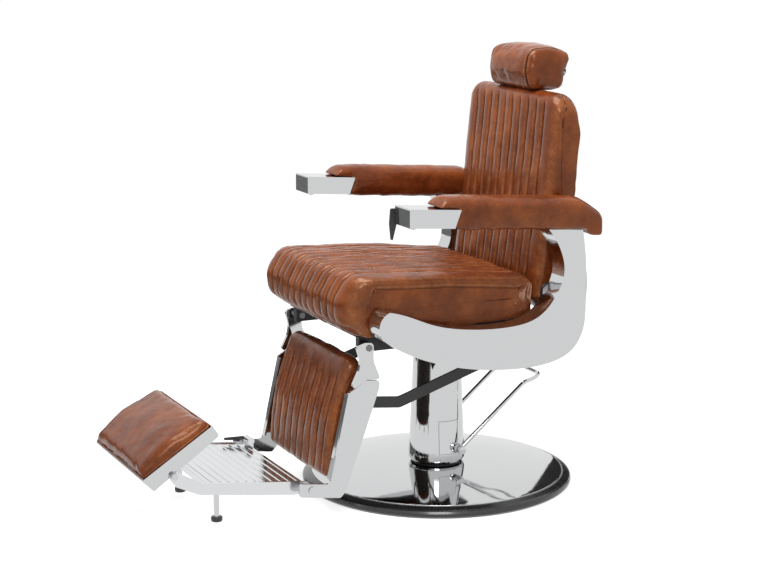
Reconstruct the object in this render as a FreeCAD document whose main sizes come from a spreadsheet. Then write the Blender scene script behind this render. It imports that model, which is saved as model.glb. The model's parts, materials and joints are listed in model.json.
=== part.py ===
import FreeCAD, Part
import math
import os
import re
import Sketcher

# Hydraulic barber chair, reclining, with a leg rest that follows the back and a folding foot plate.
# Millimetres. +Z is up, the chair faces -Y, and +X is the sitter's left. The origin is the middle of
# the round base, on the floor.

doc = FreeCAD.newDocument("barber_chair")
sheet = doc.addObject("Spreadsheet::Sheet", "Sizes")

# Driving dimensions, group by group: name, value, what it is.
SIZES = {
    "round base": [
        ("base_radius", 350, "outer radius of the rubber trim ring"),
        ("trim_width", 32, "trim ring, from its outside to its inner edge"),
        ("trim_height", 26, "top of the trim ring, where it meets the plate"),
        ("trim_shoulder", 20, "trim ring at its rounded outer edge"),
        ("plate_radius", 326, "chrome base plate"),
        ("plate_edge_height", 28, "top of the base plate at its edge"),
        ("plate_hub_radius", 74, "where the dome of the base plate meets its flat middle"),
        ("plate_hub_height", 48, "top of the base plate in the middle"),
        ("plate_gauge", 4, "sheet of the base plate"),
        ("ballast_radius", 300, "cast disc under the plate"),
        ("ballast_thickness", 10, "cast disc"),
        ("ballast_hub_radius", 70, "boss of the cast disc, under the pump"),
        ("base_bolt_circle", 33, "radius of the ring of pump bolts"),
        ("base_bolt_radius", 5, "shank of a pump bolt"),
        ("bolt_clearance", 0.3, "radial room round a bolt"),
    ],
    "pump and column": [
        ("neck_radius", 60, "black collar between base plate and shroud"),
        ("neck_top", 62, "top of the black collar"),
        ("pump_radius", 46, "cast pump body"),
        ("pump_top", 112, "top of the pump body"),
        ("cylinder_radius", 42, "oil cylinder, outside"),
        ("cylinder_wall", 7, "wall of the oil cylinder"),
        ("cylinder_top", 330, "top of the oil cylinder"),
        ("gland_height", 13, "ring that guides the ram"),
        ("ram_radius", 25, "ram"),
        ("piston_height", 20, "piston at the foot of the ram"),
        ("ram_top", 374, "top of the ram with the chair down"),
        ("running_gap", 0.05, "radial running clearance of shafts and pins"),
        ("shroud_foot", 54, "bottom of the column shroud"),
        ("shroud_foot_radius", 73, "shroud at its foot, outside"),
        ("shroud_mid_height", 234, "height at which the middle radius holds"),
        ("shroud_mid_radius", 65.8, "shroud at that height, outside"),
        ("shroud_top", 345, "top of the shroud"),
        ("shroud_top_radius", 61.5, "shroud at its top, outside"),
        ("shroud_wall", 2.5, "sheet of the shroud"),
        ("door_half_width", 27, "service door in the shroud"),
        ("door_top", 168, "top of the service door"),
        ("door_gap", 0.8, "gap round the service door"),
    ],
    "pump lever": [
        ("lever_axis_back", 26, "lever shaft behind the column axis"),
        ("lever_axis_height", 93, "lever shaft above the floor"),
        ("lever_half_width", 80, "middle of each lever arm from the middle plane"),
        ("lever_shaft_radius", 8, "lever shaft"),
        ("lever_rod_radius", 5.5, "bent rod of the lever"),
        ("lever_knee_back", 214, "knee of the rod, behind the axis"),
        ("lever_knee_height", 250, "knee of the rod"),
        ("lever_end_back", 270, "crossbar, behind the axis"),
        ("lever_end_height", 264, "crossbar"),
        ("lever_corner_radius", 34, "corner between arm and crossbar"),
        ("lever_hub_radius", 13, "hub that clamps the rod to the shaft"),
        ("lever_hub_width", 12, "hub along the shaft"),
    ],
    "seat carrier": [
        ("hub_radius", 38, "socket that sits on the ram"),
        ("hub_depth", 24, "socket below the swivel plate"),
        ("swivel_plate_width", 220, "swivel plate, across"),
        ("swivel_plate_length", 260, "swivel plate, front to back"),
        ("swivel_plate_thickness", 10, "swivel plate"),
        ("seat_gap", 0.3, "gap between parts that do not touch"),
        ("rail_inside", 180, "inner face of a frame rail from the middle plane"),
        ("rail_width", 20, "frame rail, across"),
        ("rail_bottom", 410, "underside of the frame rails"),
        ("rail_top", 450, "top of the frame rails"),
        ("rail_front", -316, "front end of the frame rails"),
        ("rail_rear", 222, "rear end of the frame rails"),
        ("bearer_offset", 95, "cross bearer from the ram axis"),
        ("bearer_width", 40, "cross bearer, front to back"),
        ("board_thickness", 14, "seat board"),
        ("board_front", -325, "front edge of the seat board"),
        ("board_rear", 112, "rear edge of the seat board"),
        ("spacer_radius", 12, "tube between rail and side panel"),
        ("front_spacer_back", -232, "front spacers"),
        ("front_spacer_height", 436, "front spacers"),
        ("rear_spacer_back", 210, "rear spacers"),
        ("rear_spacer_height", 421, "rear spacers"),
        ("spacer_bolt_radius", 6, "bolt inside a spacer"),
    ],
    "side panels": [
        ("panel_inside", 268, "inner face of a side panel from the middle plane"),
        ("panel_outside", 325, "outer face"),
        ("panel_bevel_start", 291, "where the rolled rear edge starts"),
        ("panel_roll", 22, "how far the rear edge rolls in"),
        ("panel_wall", 4, "wall of the hollow panel"),
    ],
    "seat cushion": [
        ("seat_half_width", 258, "seat cushion, middle plane to side"),
        ("seat_front", -390, "foremost line of the seat cushion"),
        ("seat_rear", 132, "rear end of the seat cushion"),
        ("seat_top_front", 610, "crown of the seat at its front edge"),
        ("seat_top_rear", 573, "crown of the seat at its rear edge"),
        ("channel_pitch", 38, "distance between sewn channels"),
        ("seat_channels", 11, "grooves in the seat"),
        ("channel_depth", 6, "depth of a sewn channel"),
        ("side_draw", 5, "how far the sides pull in between the corners"),
    ],
    "back": [
        ("hinge_back", 172, "recline axis behind the column axis"),
        ("hinge_height", 530, "recline axis above the floor"),
        ("hinge_pin_radius", 8, "recline pins"),
        ("crank_inside", 260, "crank plate, inner face"),
        ("crank_gauge", 6, "crank plate"),
        ("crank_half_width", 17, "crank plate, half its width"),
        ("link_offset_back", -22, "strap pin from the hinge it turns about, along Y"),
        ("link_offset_height", -135, "strap pin from the hinge it turns about, along Z"),
        ("cross_tube_radius", 13, "tube that joins the two crank plates"),
        ("spring_lug_drop", 110, "gas spring pin from the recline axis"),
        ("spring_lug_lead", 21, "degrees from that pin's rest to straight below the axis"),
        ("spring_pin_radius", 5, "gas spring pin"),
        ("spring_rod_radius", 5, "gas spring rod"),
        ("spring_body_radius", 11, "gas spring cylinder"),
        ("spring_body_front", -150, "front end of the gas spring cylinder"),
        ("spring_body_rear", 105, "rear end of the gas spring cylinder"),
        ("spring_eye_gauge", 8, "slotted eye on the gas spring rod"),
        ("back_half_width", 230, "back cushion, middle plane to side"),
        ("back_bottom", 506, "bottom of the back cushion"),
        ("back_top", 1010, "top of the back cushion"),
        ("back_channels", 10, "grooves in the back"),
        ("upright_offset", 150, "flat bar inside the back cushion, from the middle plane"),
        ("upright_width", 30, "flat bar"),
        ("upright_gauge", 6, "flat bar"),
        ("upright_length", 230, "flat bar inside the cushion"),
    ],
    "headrest": [
        ("headrest_half_width", 105, "headrest cushion, middle plane to side"),
        ("headrest_bottom", 1020, "bottom of the headrest"),
        ("headrest_top", 1115, "top of the headrest"),
        ("headrest_front", 199, "front of the headrest"),
        ("headrest_hinge_back", 320, "headrest tilt axis behind the column axis"),
        ("headrest_hinge_height", 1050, "headrest tilt axis"),
        ("headrest_pin_radius", 4, "headrest tilt pin"),
        ("headrest_bar_offset", 52, "each headrest bar from the middle plane"),
        ("headrest_bar_width", 28, "headrest bar"),
        ("headrest_bar_gauge", 5, "headrest bar"),
        ("headrest_bar_back", 240, "front face of the headrest bars"),
        ("headrest_bar_length", 170, "headrest bar inside the back"),
    ],
    "armrests": [
        ("arm_inside", 257, "inner face of an armrest from the middle plane"),
        ("arm_outside", 336, "outer face"),
        ("arm_front", -248, "front face of the chrome block"),
        ("arm_block_rear", -111, "where the chrome block meets the pad, at the top"),
        ("arm_rear", 290, "rear of the arm pad"),
        ("arm_slope", 0.0767, "fall of the armrest per length, to the rear"),
        ("arm_pad_depth", 48, "underside of the arm pad below the top of the chrome block"),
        ("arm_height", 795, "crown of the arm pad where it starts"),
        ("block_top", 764, "top of the chrome block where it meets the pad"),
        ("block_depth", 45, "chrome block, top to bottom"),
        ("arm_bar_width", 46, "steel bar under the arm pad"),
        ("arm_bar_gauge", 7, "steel bar under the arm pad"),
        ("trigger_gauge", 5, "recline trigger"),
        ("trigger_pin_radius", 3, "recline trigger pin"),
        ("trigger_back", -246, "recline trigger pin, along Y"),
        ("trigger_height", 757, "recline trigger pin"),
    ],
    "leg rest": [
        ("leg_hinge_back", -300, "leg rest axis, along Y"),
        ("leg_hinge_height", 425, "leg rest axis"),
        ("leg_pin_radius", 8, "leg rest pins"),
        ("post_inside", 214, "post plate, inner face"),
        ("post_gauge", 7, "post plate"),
        ("post_flange", 14, "front flange of a post, inwards"),
        ("post_flange_gauge", 4, "front flange of a post"),
        ("strap_inside", 206, "link strap, inner face"),
        ("strap_gauge", 6, "link strap"),
        ("strap_width", 28, "link strap"),
        ("strap_pin_radius", 6, "link strap pins"),
        ("strap_bend_back", -213, "bend of the link strap, along Y"),
        ("strap_bend_height", 278, "bend of the link strap"),
        ("calf_half_width", 185, "calf cushion, middle plane to side"),
        ("calf_channels", 9, "grooves in the calf cushion"),
        ("calf_board_gauge", 8, "board behind the calf cushion"),
        ("calf_bar_radius", 8, "cross bars that carry the calf board"),
    ],
    "foot plate": [
        ("foot_hinge_back", -450, "foot plate axis, along Y"),
        ("foot_hinge_height", 88, "foot plate axis"),
        ("foot_pin_radius", 6, "foot plate pins"),
        ("foot_rail_inside", 185, "side rail of the foot plate, inner face"),
        ("foot_rail_gauge", 5, "side rail of the foot plate"),
        ("foot_plate_front", -706, "front edge of the foot plate"),
        ("foot_plate_front_height", 131, "top of the foot plate at its front edge"),
        ("foot_plate_rear", -458, "rear edge of the foot plate"),
        ("foot_plate_rear_height", 100, "top of the foot plate at its rear edge"),
        ("foot_plate_gauge", 3, "foot plate"),
        ("rib_pitch", 22, "distance between the raised ribs"),
        ("rib_count", 11, "raised ribs"),
        ("rib_width", 7, "raised rib"),
        ("rib_height", 1.6, "raised rib"),
        ("rib_margin", 12, "rib end to the side rail"),
        ("peg_offset", 129, "support peg from the middle plane"),
        ("peg_back", -662, "support pegs, along Y"),
        ("peg_radius", 6.5, "support peg"),
        ("peg_foot_radius", 14, "rubber foot of a peg"),
        ("peg_foot_height", 12, "rubber foot of a peg"),
        ("peg_ground_gap", 15, "floor to the rubber foot"),
        ("latch_back", -462, "latch lever axis, along Y"),
        ("latch_height", 117, "latch lever axis"),
        ("latch_offset", -165, "latch lever from the middle plane"),
    ],
    "foot pad": [
        ("pad_half_width", 180, "foot pad, middle plane to side"),
        ("pad_pivot_back", -787, "foot pad axis, along Y"),
        ("pad_pivot_height", 159, "foot pad axis"),
        ("pad_slope", 32.5, "slope of the foot pad, degrees"),
        ("pad_length", 209, "foot pad along its slope"),
        ("pad_ahead", 74, "front of the pad ahead of its axis, along the slope"),
        ("tray_depth", 34, "flange of the chrome tray"),
        ("tray_gauge", 2.5, "sheet of the chrome tray"),
        ("tray_top", 39, "top of the tray above the axis, square to the slope"),
        ("pad_crown", 30, "crown of the foot cushion above the tray"),
        ("pad_bolt_radius", 5, "foot pad pivot bolts"),
    ],
}

row = 0
for group, entries in SIZES.items():
    row += 1
    sheet.set("A%d" % row, group)
    for alias, value, meaning in entries:
        row += 1
        sheet.set("A%d" % row, alias)
        sheet.set("B%d" % row, str(value))
        sheet.set("C%d" % row, meaning)
        sheet.setAlias("B%d" % row, alias)
doc.recompute()

ALIASES = [alias for entries in SIZES.values() for alias, value, meaning in entries]
ALIAS_WORDS = re.compile(r"\b(" + "|".join(sorted(ALIASES, key=len, reverse=True)) + r")\b")
SIDES = {"left": 1, "right": -1}
PARTS = []


def size(name):
    """A driving dimension, read back from the sheet."""
    return float(sheet.get(name))


def expression(text):
    """A formula in the words of the sheet, as the document wants it."""
    return ALIAS_WORDS.sub(r"Sizes.\1", str(text))


def value(text):
    """The same formula worked out as a number."""
    if isinstance(text, (int, float)):
        return float(text)
    total = doc.getObject("Sizes").evalExpression(expression(text))
    return float(getattr(total, "Value", total))


def bind(thing, **formulas):
    for name, text in formulas.items():
        thing.setExpression(name.replace("__", "."), expression(text))


def place(thing, x="0", y="0", z="0"):
    bind(thing, Placement__Base__x=x, Placement__Base__y=y, Placement__Base__z=z)


def keep(thing, label):
    """Marks an object as a sub-part under its own name."""
    thing.Label = label
    PARTS.append(thing)
    return thing


def vector(x, y, z):
    return FreeCAD.Vector(x, y, z)


# Primitives bound to the sheet.

AXIS_TURN = {
    "Z": FreeCAD.Rotation(),
    "X": FreeCAD.Rotation(vector(0, 1, 0), 90),
    "Y": FreeCAD.Rotation(vector(1, 0, 0), -90),
}


def cylinder(name, radius, height, at, along="Z"):
    thing = doc.addObject("Part::Cylinder", name)
    bind(thing, Radius=radius, Height=height)
    thing.Placement = FreeCAD.Placement(vector(0, 0, 0), AXIS_TURN[along])
    place(thing, *at)
    return thing


def box(name, length, width, height, at):
    thing = doc.addObject("Part::Box", name)
    bind(thing, Length=length, Width=width, Height=height)
    place(thing, *at)
    return thing


def fuse(name, things):
    thing = doc.addObject("Part::MultiFuse", name)
    thing.Shapes = things
    return thing


def cut(name, base, tool):
    thing = doc.addObject("Part::Cut", name)
    thing.Base = base
    thing.Tool = tool
    return thing


def group(name, things):
    """Separate pieces of one kind, kept together as one sub-part."""
    thing = doc.addObject("Part::Compound", name)
    thing.Links = things
    return thing


def shaped(name, shape):
    """A sub-part whose form the functions below work out from the sheet."""
    thing = doc.addObject("Part::Feature", name)
    thing.Shape = shape
    return thing


# Sketched bodies bound to the sheet.

def sketched_body(name, plane_role, points):
    """A body with a closed sketch of straight lines through points given as formulas."""
    body = doc.addObject("PartDesign::Body", name)
    plane = [f for f in body.Origin.OriginFeatures if f.Role == plane_role][0]
    sketch = body.newObject("Sketcher::SketchObject", name + "_outline")
    sketch.AttachmentSupport = (plane, [""])
    sketch.MapMode = "FlatFace"
    numbers = [vector(value(u), value(v), 0) for u, v in points]
    count = len(points)
    for i in range(count):
        sketch.addGeometry(Part.LineSegment(numbers[i], numbers[(i + 1) % count]), False)
    for i in range(count):
        sketch.addConstraint(Sketcher.Constraint("Coincident", i, 2, (i + 1) % count, 1))
    for i, (u, v) in enumerate(points):
        across = sketch.addConstraint(Sketcher.Constraint("DistanceX", -1, 1, i, 1, numbers[i].x))
        sketch.setExpression("Constraints[%d]" % across, expression(u))
        upward = sketch.addConstraint(Sketcher.Constraint("DistanceY", -1, 1, i, 1, numbers[i].y))
        sketch.setExpression("Constraints[%d]" % upward, expression(v))
    return body, sketch


def turned(name, points):
    """A body turned about the column axis, from (radius, height) formulas."""
    body, sketch = sketched_body(name, "XZ_Plane", points)
    feature = body.newObject("PartDesign::Revolution", name + "_turned")
    feature.Profile = sketch
    feature.ReferenceAxis = (sketch, ["V_Axis"])
    feature.Angle = 360
    body.Tip = feature
    return body


def hole(name, thing, radius, y, z):
    """Bores a round hole along X right through a thing, on both sides of the middle plane."""
    tool = cylinder(name + "_tool", radius, "2 * base_radius", ("-base_radius", y, z), "X")
    return cut(name, thing, tool)


# Free forms: wires of lines and arcs, and the cushions lofted through them.

def rounded_wire(corners, x):
    """A closed wire at X = x through (y, z, radius) corners, each corner a tangent arc."""
    points = [vector(x, y, z) for y, z, radius in corners]
    count = len(points)
    arcs = []
    for i, (y, z, radius) in enumerate(corners):
        before = (points[i - 1] - points[i]).normalize()
        after = (points[(i + 1) % count] - points[i]).normalize()
        half = math.acos(before.dot(after)) / 2
        run = radius / math.tan(half)
        inward = (before + after).normalize()
        crest = points[i] + inward * (radius / math.sin(half) - radius)
        arcs.append((points[i] + before * run, crest, points[i] + after * run))
    edges = []
    for i in range(count):
        edges.append(Part.Arc(*arcs[i]).toShape())
        edges.append(Part.makeLine(arcs[i][2], arcs[(i + 1) % count][0]))
    return Part.Wire(edges)


LEAST_RADIUS = 3


def drawn_in(corners, insets):
    """The corners after each side, counted from its first corner, has moved inwards."""
    count = len(corners)
    lines = []
    for i in range(count):
        y0, z0, radius = corners[i]
        y1, z1, radius = corners[(i + 1) % count]
        length = math.hypot(y1 - y0, z1 - z0)
        ny, nz = -(z1 - z0) / length, (y1 - y0) / length
        shift = insets[i]
        lines.append((y0 + ny * shift, z0 + nz * shift, y1 - y0, z1 - z0))
    moved = []
    for i in range(count):
        ay, az, au, av = lines[i - 1]
        by, bz, bu, bv = lines[i]
        cross = au * bv - av * bu
        along = ((by - ay) * bv - (bz - az) * bu) / cross
        radius = max(corners[i][2] - max(insets[i - 1], insets[i]), min(corners[i][2], LEAST_RADIUS))
        moved.append((ay + au * along, az + av * along, radius))
    return moved


CHANNEL_SHOULDERS = (0.22, 0.78)


def channel_stations(half_width, channels, pitch, depth, edge_drop, crown):
    """Where the cushion is cut across X, and how far its padded sides lie in there."""
    outermost = pitch * (channels - 1) / 2
    border = half_width - outermost
    stations = [(outermost + border * part, edge_drop * share)
                for part, share in ((0.35, 0.0), (0.7, 0.12), (0.93, 0.45), (1.0, 1.0))]
    for i in range(int(channels)):
        stations.append((-outermost + pitch * i, depth))
    for i in range(int(channels) - 1):
        for part in CHANNEL_SHOULDERS:
            stations.append((-outermost + pitch * (i + part), 0.0))
    stations += [(-x, inset) for x, inset in stations[:4]]
    stations.sort()
    return [(x, inset + crown * (x / half_width) ** 2) for x, inset in stations]


def cushion(corners, shares, stations):
    """A padded form: the corners' outline lofted across X, its padded sides moved in by station.
    The loft is ruled from one section to the next, so that it never swings past them."""
    wires = []
    for x, inset in stations:
        wires.append(rounded_wire(drawn_in(corners, [share * inset for share in shares]), x))
    return Part.makeLoft(wires, True, True)


def waisted_outline(half_width, low, high, draw, radius, plane_point):
    """A four-cornered outline whose two sides pull in between rounded corners.
    plane_point turns (across, along) into a point of the plane that it lies in."""
    reach = half_width
    points = {
        "low right": (-reach + radius, low), "low left": (reach - radius, low),
        "left low": (reach, low + radius), "left high": (reach, high - radius),
        "high left": (reach - radius, high), "high right": (-reach + radius, high),
        "right high": (-reach, high - radius), "right low": (-reach, low + radius),
    }
    bend = radius * (1 - math.sqrt(0.5))
    middle = (low + high) / 2

    def at(name):
        return plane_point(*points[name])

    edges = [
        Part.makeLine(at("low right"), at("low left")),
        Part.Arc(at("low left"), plane_point(reach - bend, low + bend), at("left low")).toShape(),
        Part.Arc(at("left low"), plane_point(reach - draw, middle), at("left high")).toShape(),
        Part.Arc(at("left high"), plane_point(reach - bend, high - bend), at("high left")).toShape(),
        Part.makeLine(at("high left"), at("high right")),
        Part.Arc(at("high right"), plane_point(bend - reach, high - bend), at("right high")).toShape(),
        Part.Arc(at("right high"), plane_point(draw - reach, middle), at("right low")).toShape(),
        Part.Arc(at("right low"), plane_point(bend - reach, low + bend), at("low right")).toShape(),
    ]
    return Part.Face(Part.Wire(edges))


def smooth_edge(points, x):
    """One smooth curve through (y, z) points at X = x."""
    curve = Part.BSplineCurve()
    curve.interpolate([vector(x, y, z) for y, z in points])
    return curve.toShape()


def filleted_path(points, radii):
    """A path of straight runs joined by tangent arcs; radii go with the inner points."""
    edges = []
    start = points[0]
    for i in range(1, len(points) - 1):
        before = (points[i - 1] - points[i]).normalize()
        after = (points[i + 1] - points[i]).normalize()
        half = math.acos(before.dot(after)) / 2
        radius = radii[i - 1]
        run = radius / math.tan(half)
        inward = (before + after).normalize()
        crest = points[i] + inward * (radius / math.sin(half) - radius)
        entry, leave = points[i] + before * run, points[i] + after * run
        edges.append(Part.makeLine(start, entry))
        edges.append(Part.Arc(entry, crest, leave).toShape())
        start = leave
    edges.append(Part.makeLine(start, points[-1]))
    return Part.Wire(edges)


def swept_rod(path, radius):
    """A round rod along a path."""
    first = path.OrderedEdges[0]
    direction = first.tangentAt(first.FirstParameter)
    section = Part.Wire(Part.makeCircle(radius, path.OrderedVertexes[0].Point, direction))
    return path.makePipeShell([section], True, False)


def both_sides(shape):
    """A shape and its mirror image, as separate solids."""
    return Part.makeCompound([shape, shape.mirror(vector(0, 0, 0), vector(1, 0, 0))])


def slab(wire_or_face, x_from, x_to):
    """A face or closed wire at X = 0 pulled out between two X values."""
    face = wire_or_face if wire_or_face.ShapeType == "Face" else Part.Face(wire_or_face)
    solid = face.extrude(vector(x_to - x_from, 0, 0))
    solid.translate(vector(x_from, 0, 0))
    return solid


def pin_along_x(radius, x_from, x_to, y, z):
    return Part.makeCylinder(radius, x_to - x_from, vector(x_from, y, z), vector(1, 0, 0))


# The round base: rubber trim, domed chrome plate, cast ballast.

def domed_plate():
    """The pressed plate: a flat middle, then an arc that leaves it level and falls to the edge."""
    hub, edge = size("plate_hub_radius"), size("plate_radius")
    high, low, gauge = size("plate_hub_height"), size("plate_edge_height"), size("plate_gauge")
    reach, fall = edge - hub, high - low
    bend = (reach ** 2 + fall ** 2) / (2 * fall)
    half_way = bend * math.sin(math.atan2(reach, bend - fall) / 2)
    drop = bend - math.sqrt(bend ** 2 - half_way ** 2)

    def arc(shift):
        return Part.Arc(vector(hub, 0, high - shift), vector(hub + half_way, 0, high - drop - shift),
                        vector(edge, 0, low - shift)).toShape()

    rim = [Part.makeLine(vector(edge, 0, low), vector(edge, 0, low - gauge)),
           Part.makeLine(vector(hub, 0, high - gauge), vector(0, 0, high - gauge)),
           Part.makeLine(vector(0, 0, high - gauge), vector(0, 0, high)),
           Part.makeLine(vector(0, 0, high), vector(hub, 0, high))]
    profile = Part.Wire(Part.__sortEdges__([arc(0), arc(gauge)] + rim))
    return Part.Face(profile).revolve(vector(0, 0, 0), vector(0, 0, 1), 360)


def build_base():
    ring = turned("trim_ring", [
        ("base_radius - trim_width", "0"),
        ("base_radius - 6", "0"),
        ("base_radius", "6"),
        ("base_radius", "trim_shoulder - 7"),
        ("base_radius - 3", "trim_shoulder - 2"),
        ("base_radius - 8", "trim_shoulder + 1"),
        ("plate_radius + 4", "trim_height"),
        ("plate_radius + seat_gap", "trim_height"),
        ("plate_radius + seat_gap", "plate_edge_height - plate_gauge"),
        ("base_radius - trim_width", "plate_edge_height - plate_gauge"),
    ])
    keep(ring, "base_trim_ring")

    dish = shaped("base_dish", domed_plate())
    ballast = turned("ballast", [
        ("0", "0"),
        ("ballast_radius", "0"),
        ("ballast_radius", "ballast_thickness"),
        ("ballast_hub_radius", "ballast_thickness"),
        ("ballast_hub_radius - 10", "plate_hub_height - plate_gauge"),
        ("0", "plate_hub_height - plate_gauge"),
    ])
    casting = cylinder("pump_casting", "pump_radius", "pump_top - plate_hub_height",
                       ("0", "0", "plate_hub_height"))

    bolts, shank_rooms, head_rooms = [], [], []
    for i in range(4):
        x = "base_bolt_circle * %d" % (0, 1, 0, -1)[i]
        y = "base_bolt_circle * %d" % (1, 0, -1, 0)[i]
        shank = cylinder("pump_bolt_shank%d" % i, "base_bolt_radius", "plate_hub_height + 14", (x, y, "10"))
        head = doc.addObject("Part::Prism", "pump_bolt_head%d" % i)
        head.Polygon = 6
        bind(head, Circumradius="base_bolt_radius * 1.8", Height="6")
        place(head, x, y, "4")
        bolts.append(fuse("pump_bolt%d" % i, [shank, head]))
        shank_rooms.append(cylinder("pump_bolt_room%d" % i, "base_bolt_radius + bolt_clearance",
                                    "plate_hub_height + 16", (x, y, "9")))
        head_rooms.append(cylinder("pump_head_room%d" % i, "base_bolt_radius * 2.1", "10",
                                   (x, y, "0")))
    keep(group("pump_bolts", bolts), "pump_bolts")
    rooms = fuse("pump_bolt_rooms", shank_rooms)
    ballast_rooms = fuse("ballast_bolt_rooms", shank_rooms + head_rooms)
    keep(cut("ballast_bored", ballast, ballast_rooms), "base_ballast")
    keep(cut("dish_bored", dish, rooms), "base_plate")

    shaft_room = cylinder("shaft_room", "lever_shaft_radius + running_gap", "2 * pump_radius + 20",
                          ("-pump_radius - 10", "lever_axis_back", "lever_axis_height"), "X")
    casting_rooms = fuse("casting_rooms", shank_rooms + [shaft_room])
    keep(cut("casting_bored", casting, casting_rooms), "pump_body")

    collar = turned("neck_collar", [
        ("pump_radius + seat_gap", "plate_hub_height"),
        ("neck_radius + 6", "plate_hub_height"),
        ("neck_radius", "plate_hub_height + 7"),
        ("neck_radius", "neck_top"),
        ("pump_radius + seat_gap", "neck_top"),
    ])
    keep(collar, "neck_collar")


# The column: oil cylinder, gland, ram, shroud with its service door.

def build_column():
    tube = turned("oil_cylinder", [
        ("cylinder_radius - cylinder_wall", "pump_top"),
        ("cylinder_radius", "pump_top"),
        ("cylinder_radius", "cylinder_top"),
        ("cylinder_radius - cylinder_wall", "cylinder_top"),
    ])
    keep(tube, "oil_cylinder")
    gland = turned("gland", [
        ("ram_radius + running_gap", "cylinder_top"),
        ("cylinder_radius", "cylinder_top"),
        ("cylinder_radius", "cylinder_top + gland_height"),
        ("ram_radius + running_gap", "cylinder_top + gland_height"),
    ])
    keep(gland, "ram_gland")
    piston_radius = "cylinder_radius - cylinder_wall - running_gap"
    ram = turned("ram_and_piston", [
        ("0", "pump_top + 4"),
        (piston_radius, "pump_top + 4"),
        (piston_radius, "pump_top + 4 + piston_height"),
        ("ram_radius", "pump_top + 4 + piston_height"),
        ("ram_radius", "ram_top"),
        ("0", "ram_top"),
    ])
    keep(ram, "hydraulic_ram")

    shell = turned("shroud_shell", [
        ("shroud_foot_radius - 4", "shroud_foot"),
        ("shroud_foot_radius", "shroud_foot + 7"),
        ("shroud_foot_radius", "shroud_foot + 20"),
        ("shroud_mid_radius", "shroud_mid_height"),
        ("shroud_top_radius", "shroud_top"),
        ("shroud_top_radius - shroud_wall", "shroud_top"),
        ("shroud_mid_radius - shroud_wall", "shroud_mid_height"),
        ("shroud_foot_radius - shroud_wall", "shroud_foot + 20"),
        ("shroud_foot_radius - shroud_wall", "shroud_foot + 9"),
        ("shroud_foot_radius - 4 - shroud_wall", "shroud_foot + 2"),
        ("shroud_foot_radius - 4 - shroud_wall", "shroud_foot"),
    ])
    shaft_ways = cylinder("shaft_ways", "lever_hub_radius - 2", "2 * base_radius",
                          ("-base_radius", "lever_axis_back", "lever_axis_height"), "X")
    window = box("door_window", "base_radius", "2 * door_half_width", "door_top - shroud_foot - 26",
                 ("0", "-door_half_width", "shroud_foot + 26"))
    keep(cut("shroud_cut", shell, fuse("shroud_rooms", [shaft_ways, window])), "column_shroud")
    door_block = box("door_block", "base_radius", "2 * (door_half_width - door_gap)",
                     "door_top - shroud_foot - 26 - 2 * door_gap",
                     ("0", "door_gap - door_half_width", "shroud_foot + 26 + door_gap"))
    door = doc.addObject("Part::Common", "door_sheet")
    door.Base = shell
    door.Tool = door_block
    keep(cut("door_cut", door, shaft_ways), "shroud_door")


# The pump lever: shaft through the pump body, two clamping hubs, one bent rod.

def build_lever():
    half, radius = size("lever_half_width"), size("lever_rod_radius")
    axis_y, axis_z = size("lever_axis_back"), size("lever_axis_height")
    knee_y, knee_z = size("lever_knee_back"), size("lever_knee_height")
    end_y, end_z = size("lever_end_back"), size("lever_end_height")
    shaft = cylinder("lever_shaft_bar", "lever_shaft_radius", "2 * lever_half_width + 26",
                     ("-lever_half_width - 13", "lever_axis_back", "lever_axis_height"), "X")
    keep(shaft, "lever_shaft")

    slope = math.atan2(knee_z - axis_z, knee_y - axis_y)
    hub_reach = size("lever_hub_radius") - 1
    root_y, root_z = axis_y + hub_reach * math.cos(slope), axis_z + hub_reach * math.sin(slope)
    points = [vector(half, root_y, root_z), vector(half, knee_y, knee_z), vector(half, end_y, end_z),
              vector(-half, end_y, end_z), vector(-half, knee_y, knee_z), vector(-half, root_y, root_z)]
    corner = size("lever_corner_radius")
    rod = swept_rod(filleted_path(points, [50, corner, corner, 50]), radius)
    width = size("lever_hub_width")
    hub_solids = []
    for side in SIDES.values():
        middle = side * half
        hub = pin_along_x(size("lever_hub_radius"), middle - width / 2, middle + width / 2, axis_y, axis_z)
        hub = hub.cut(pin_along_x(size("lever_shaft_radius"), middle - width, middle + width, axis_y, axis_z))
        hub_solids.append(hub.cut(rod))
    keep(shaped("lever_rod", rod), "pump_lever")
    keep(shaped("lever_hub_pair", Part.makeCompound(hub_solids)), "lever_hubs")
    ends = []
    for name, side in SIDES.items():
        start = "lever_half_width + 13" if side > 0 else "-lever_half_width - 17"
        ends.append(cylinder("lever_cap_" + name, "lever_shaft_radius + 2", "4",
                             (start, "lever_axis_back", "lever_axis_height"), "X"))
    keep(group("lever_end_caps", ends), "lever_end_caps")


# Height of the gas spring: its rod points at the pin on the back frame.
SPRING_AXIS = "(hinge_height - spring_lug_drop * cos(spring_lug_lead))"


# The carrier: swivel plate on the ram, welded frame, seat board, spacers to the side panels.

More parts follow.
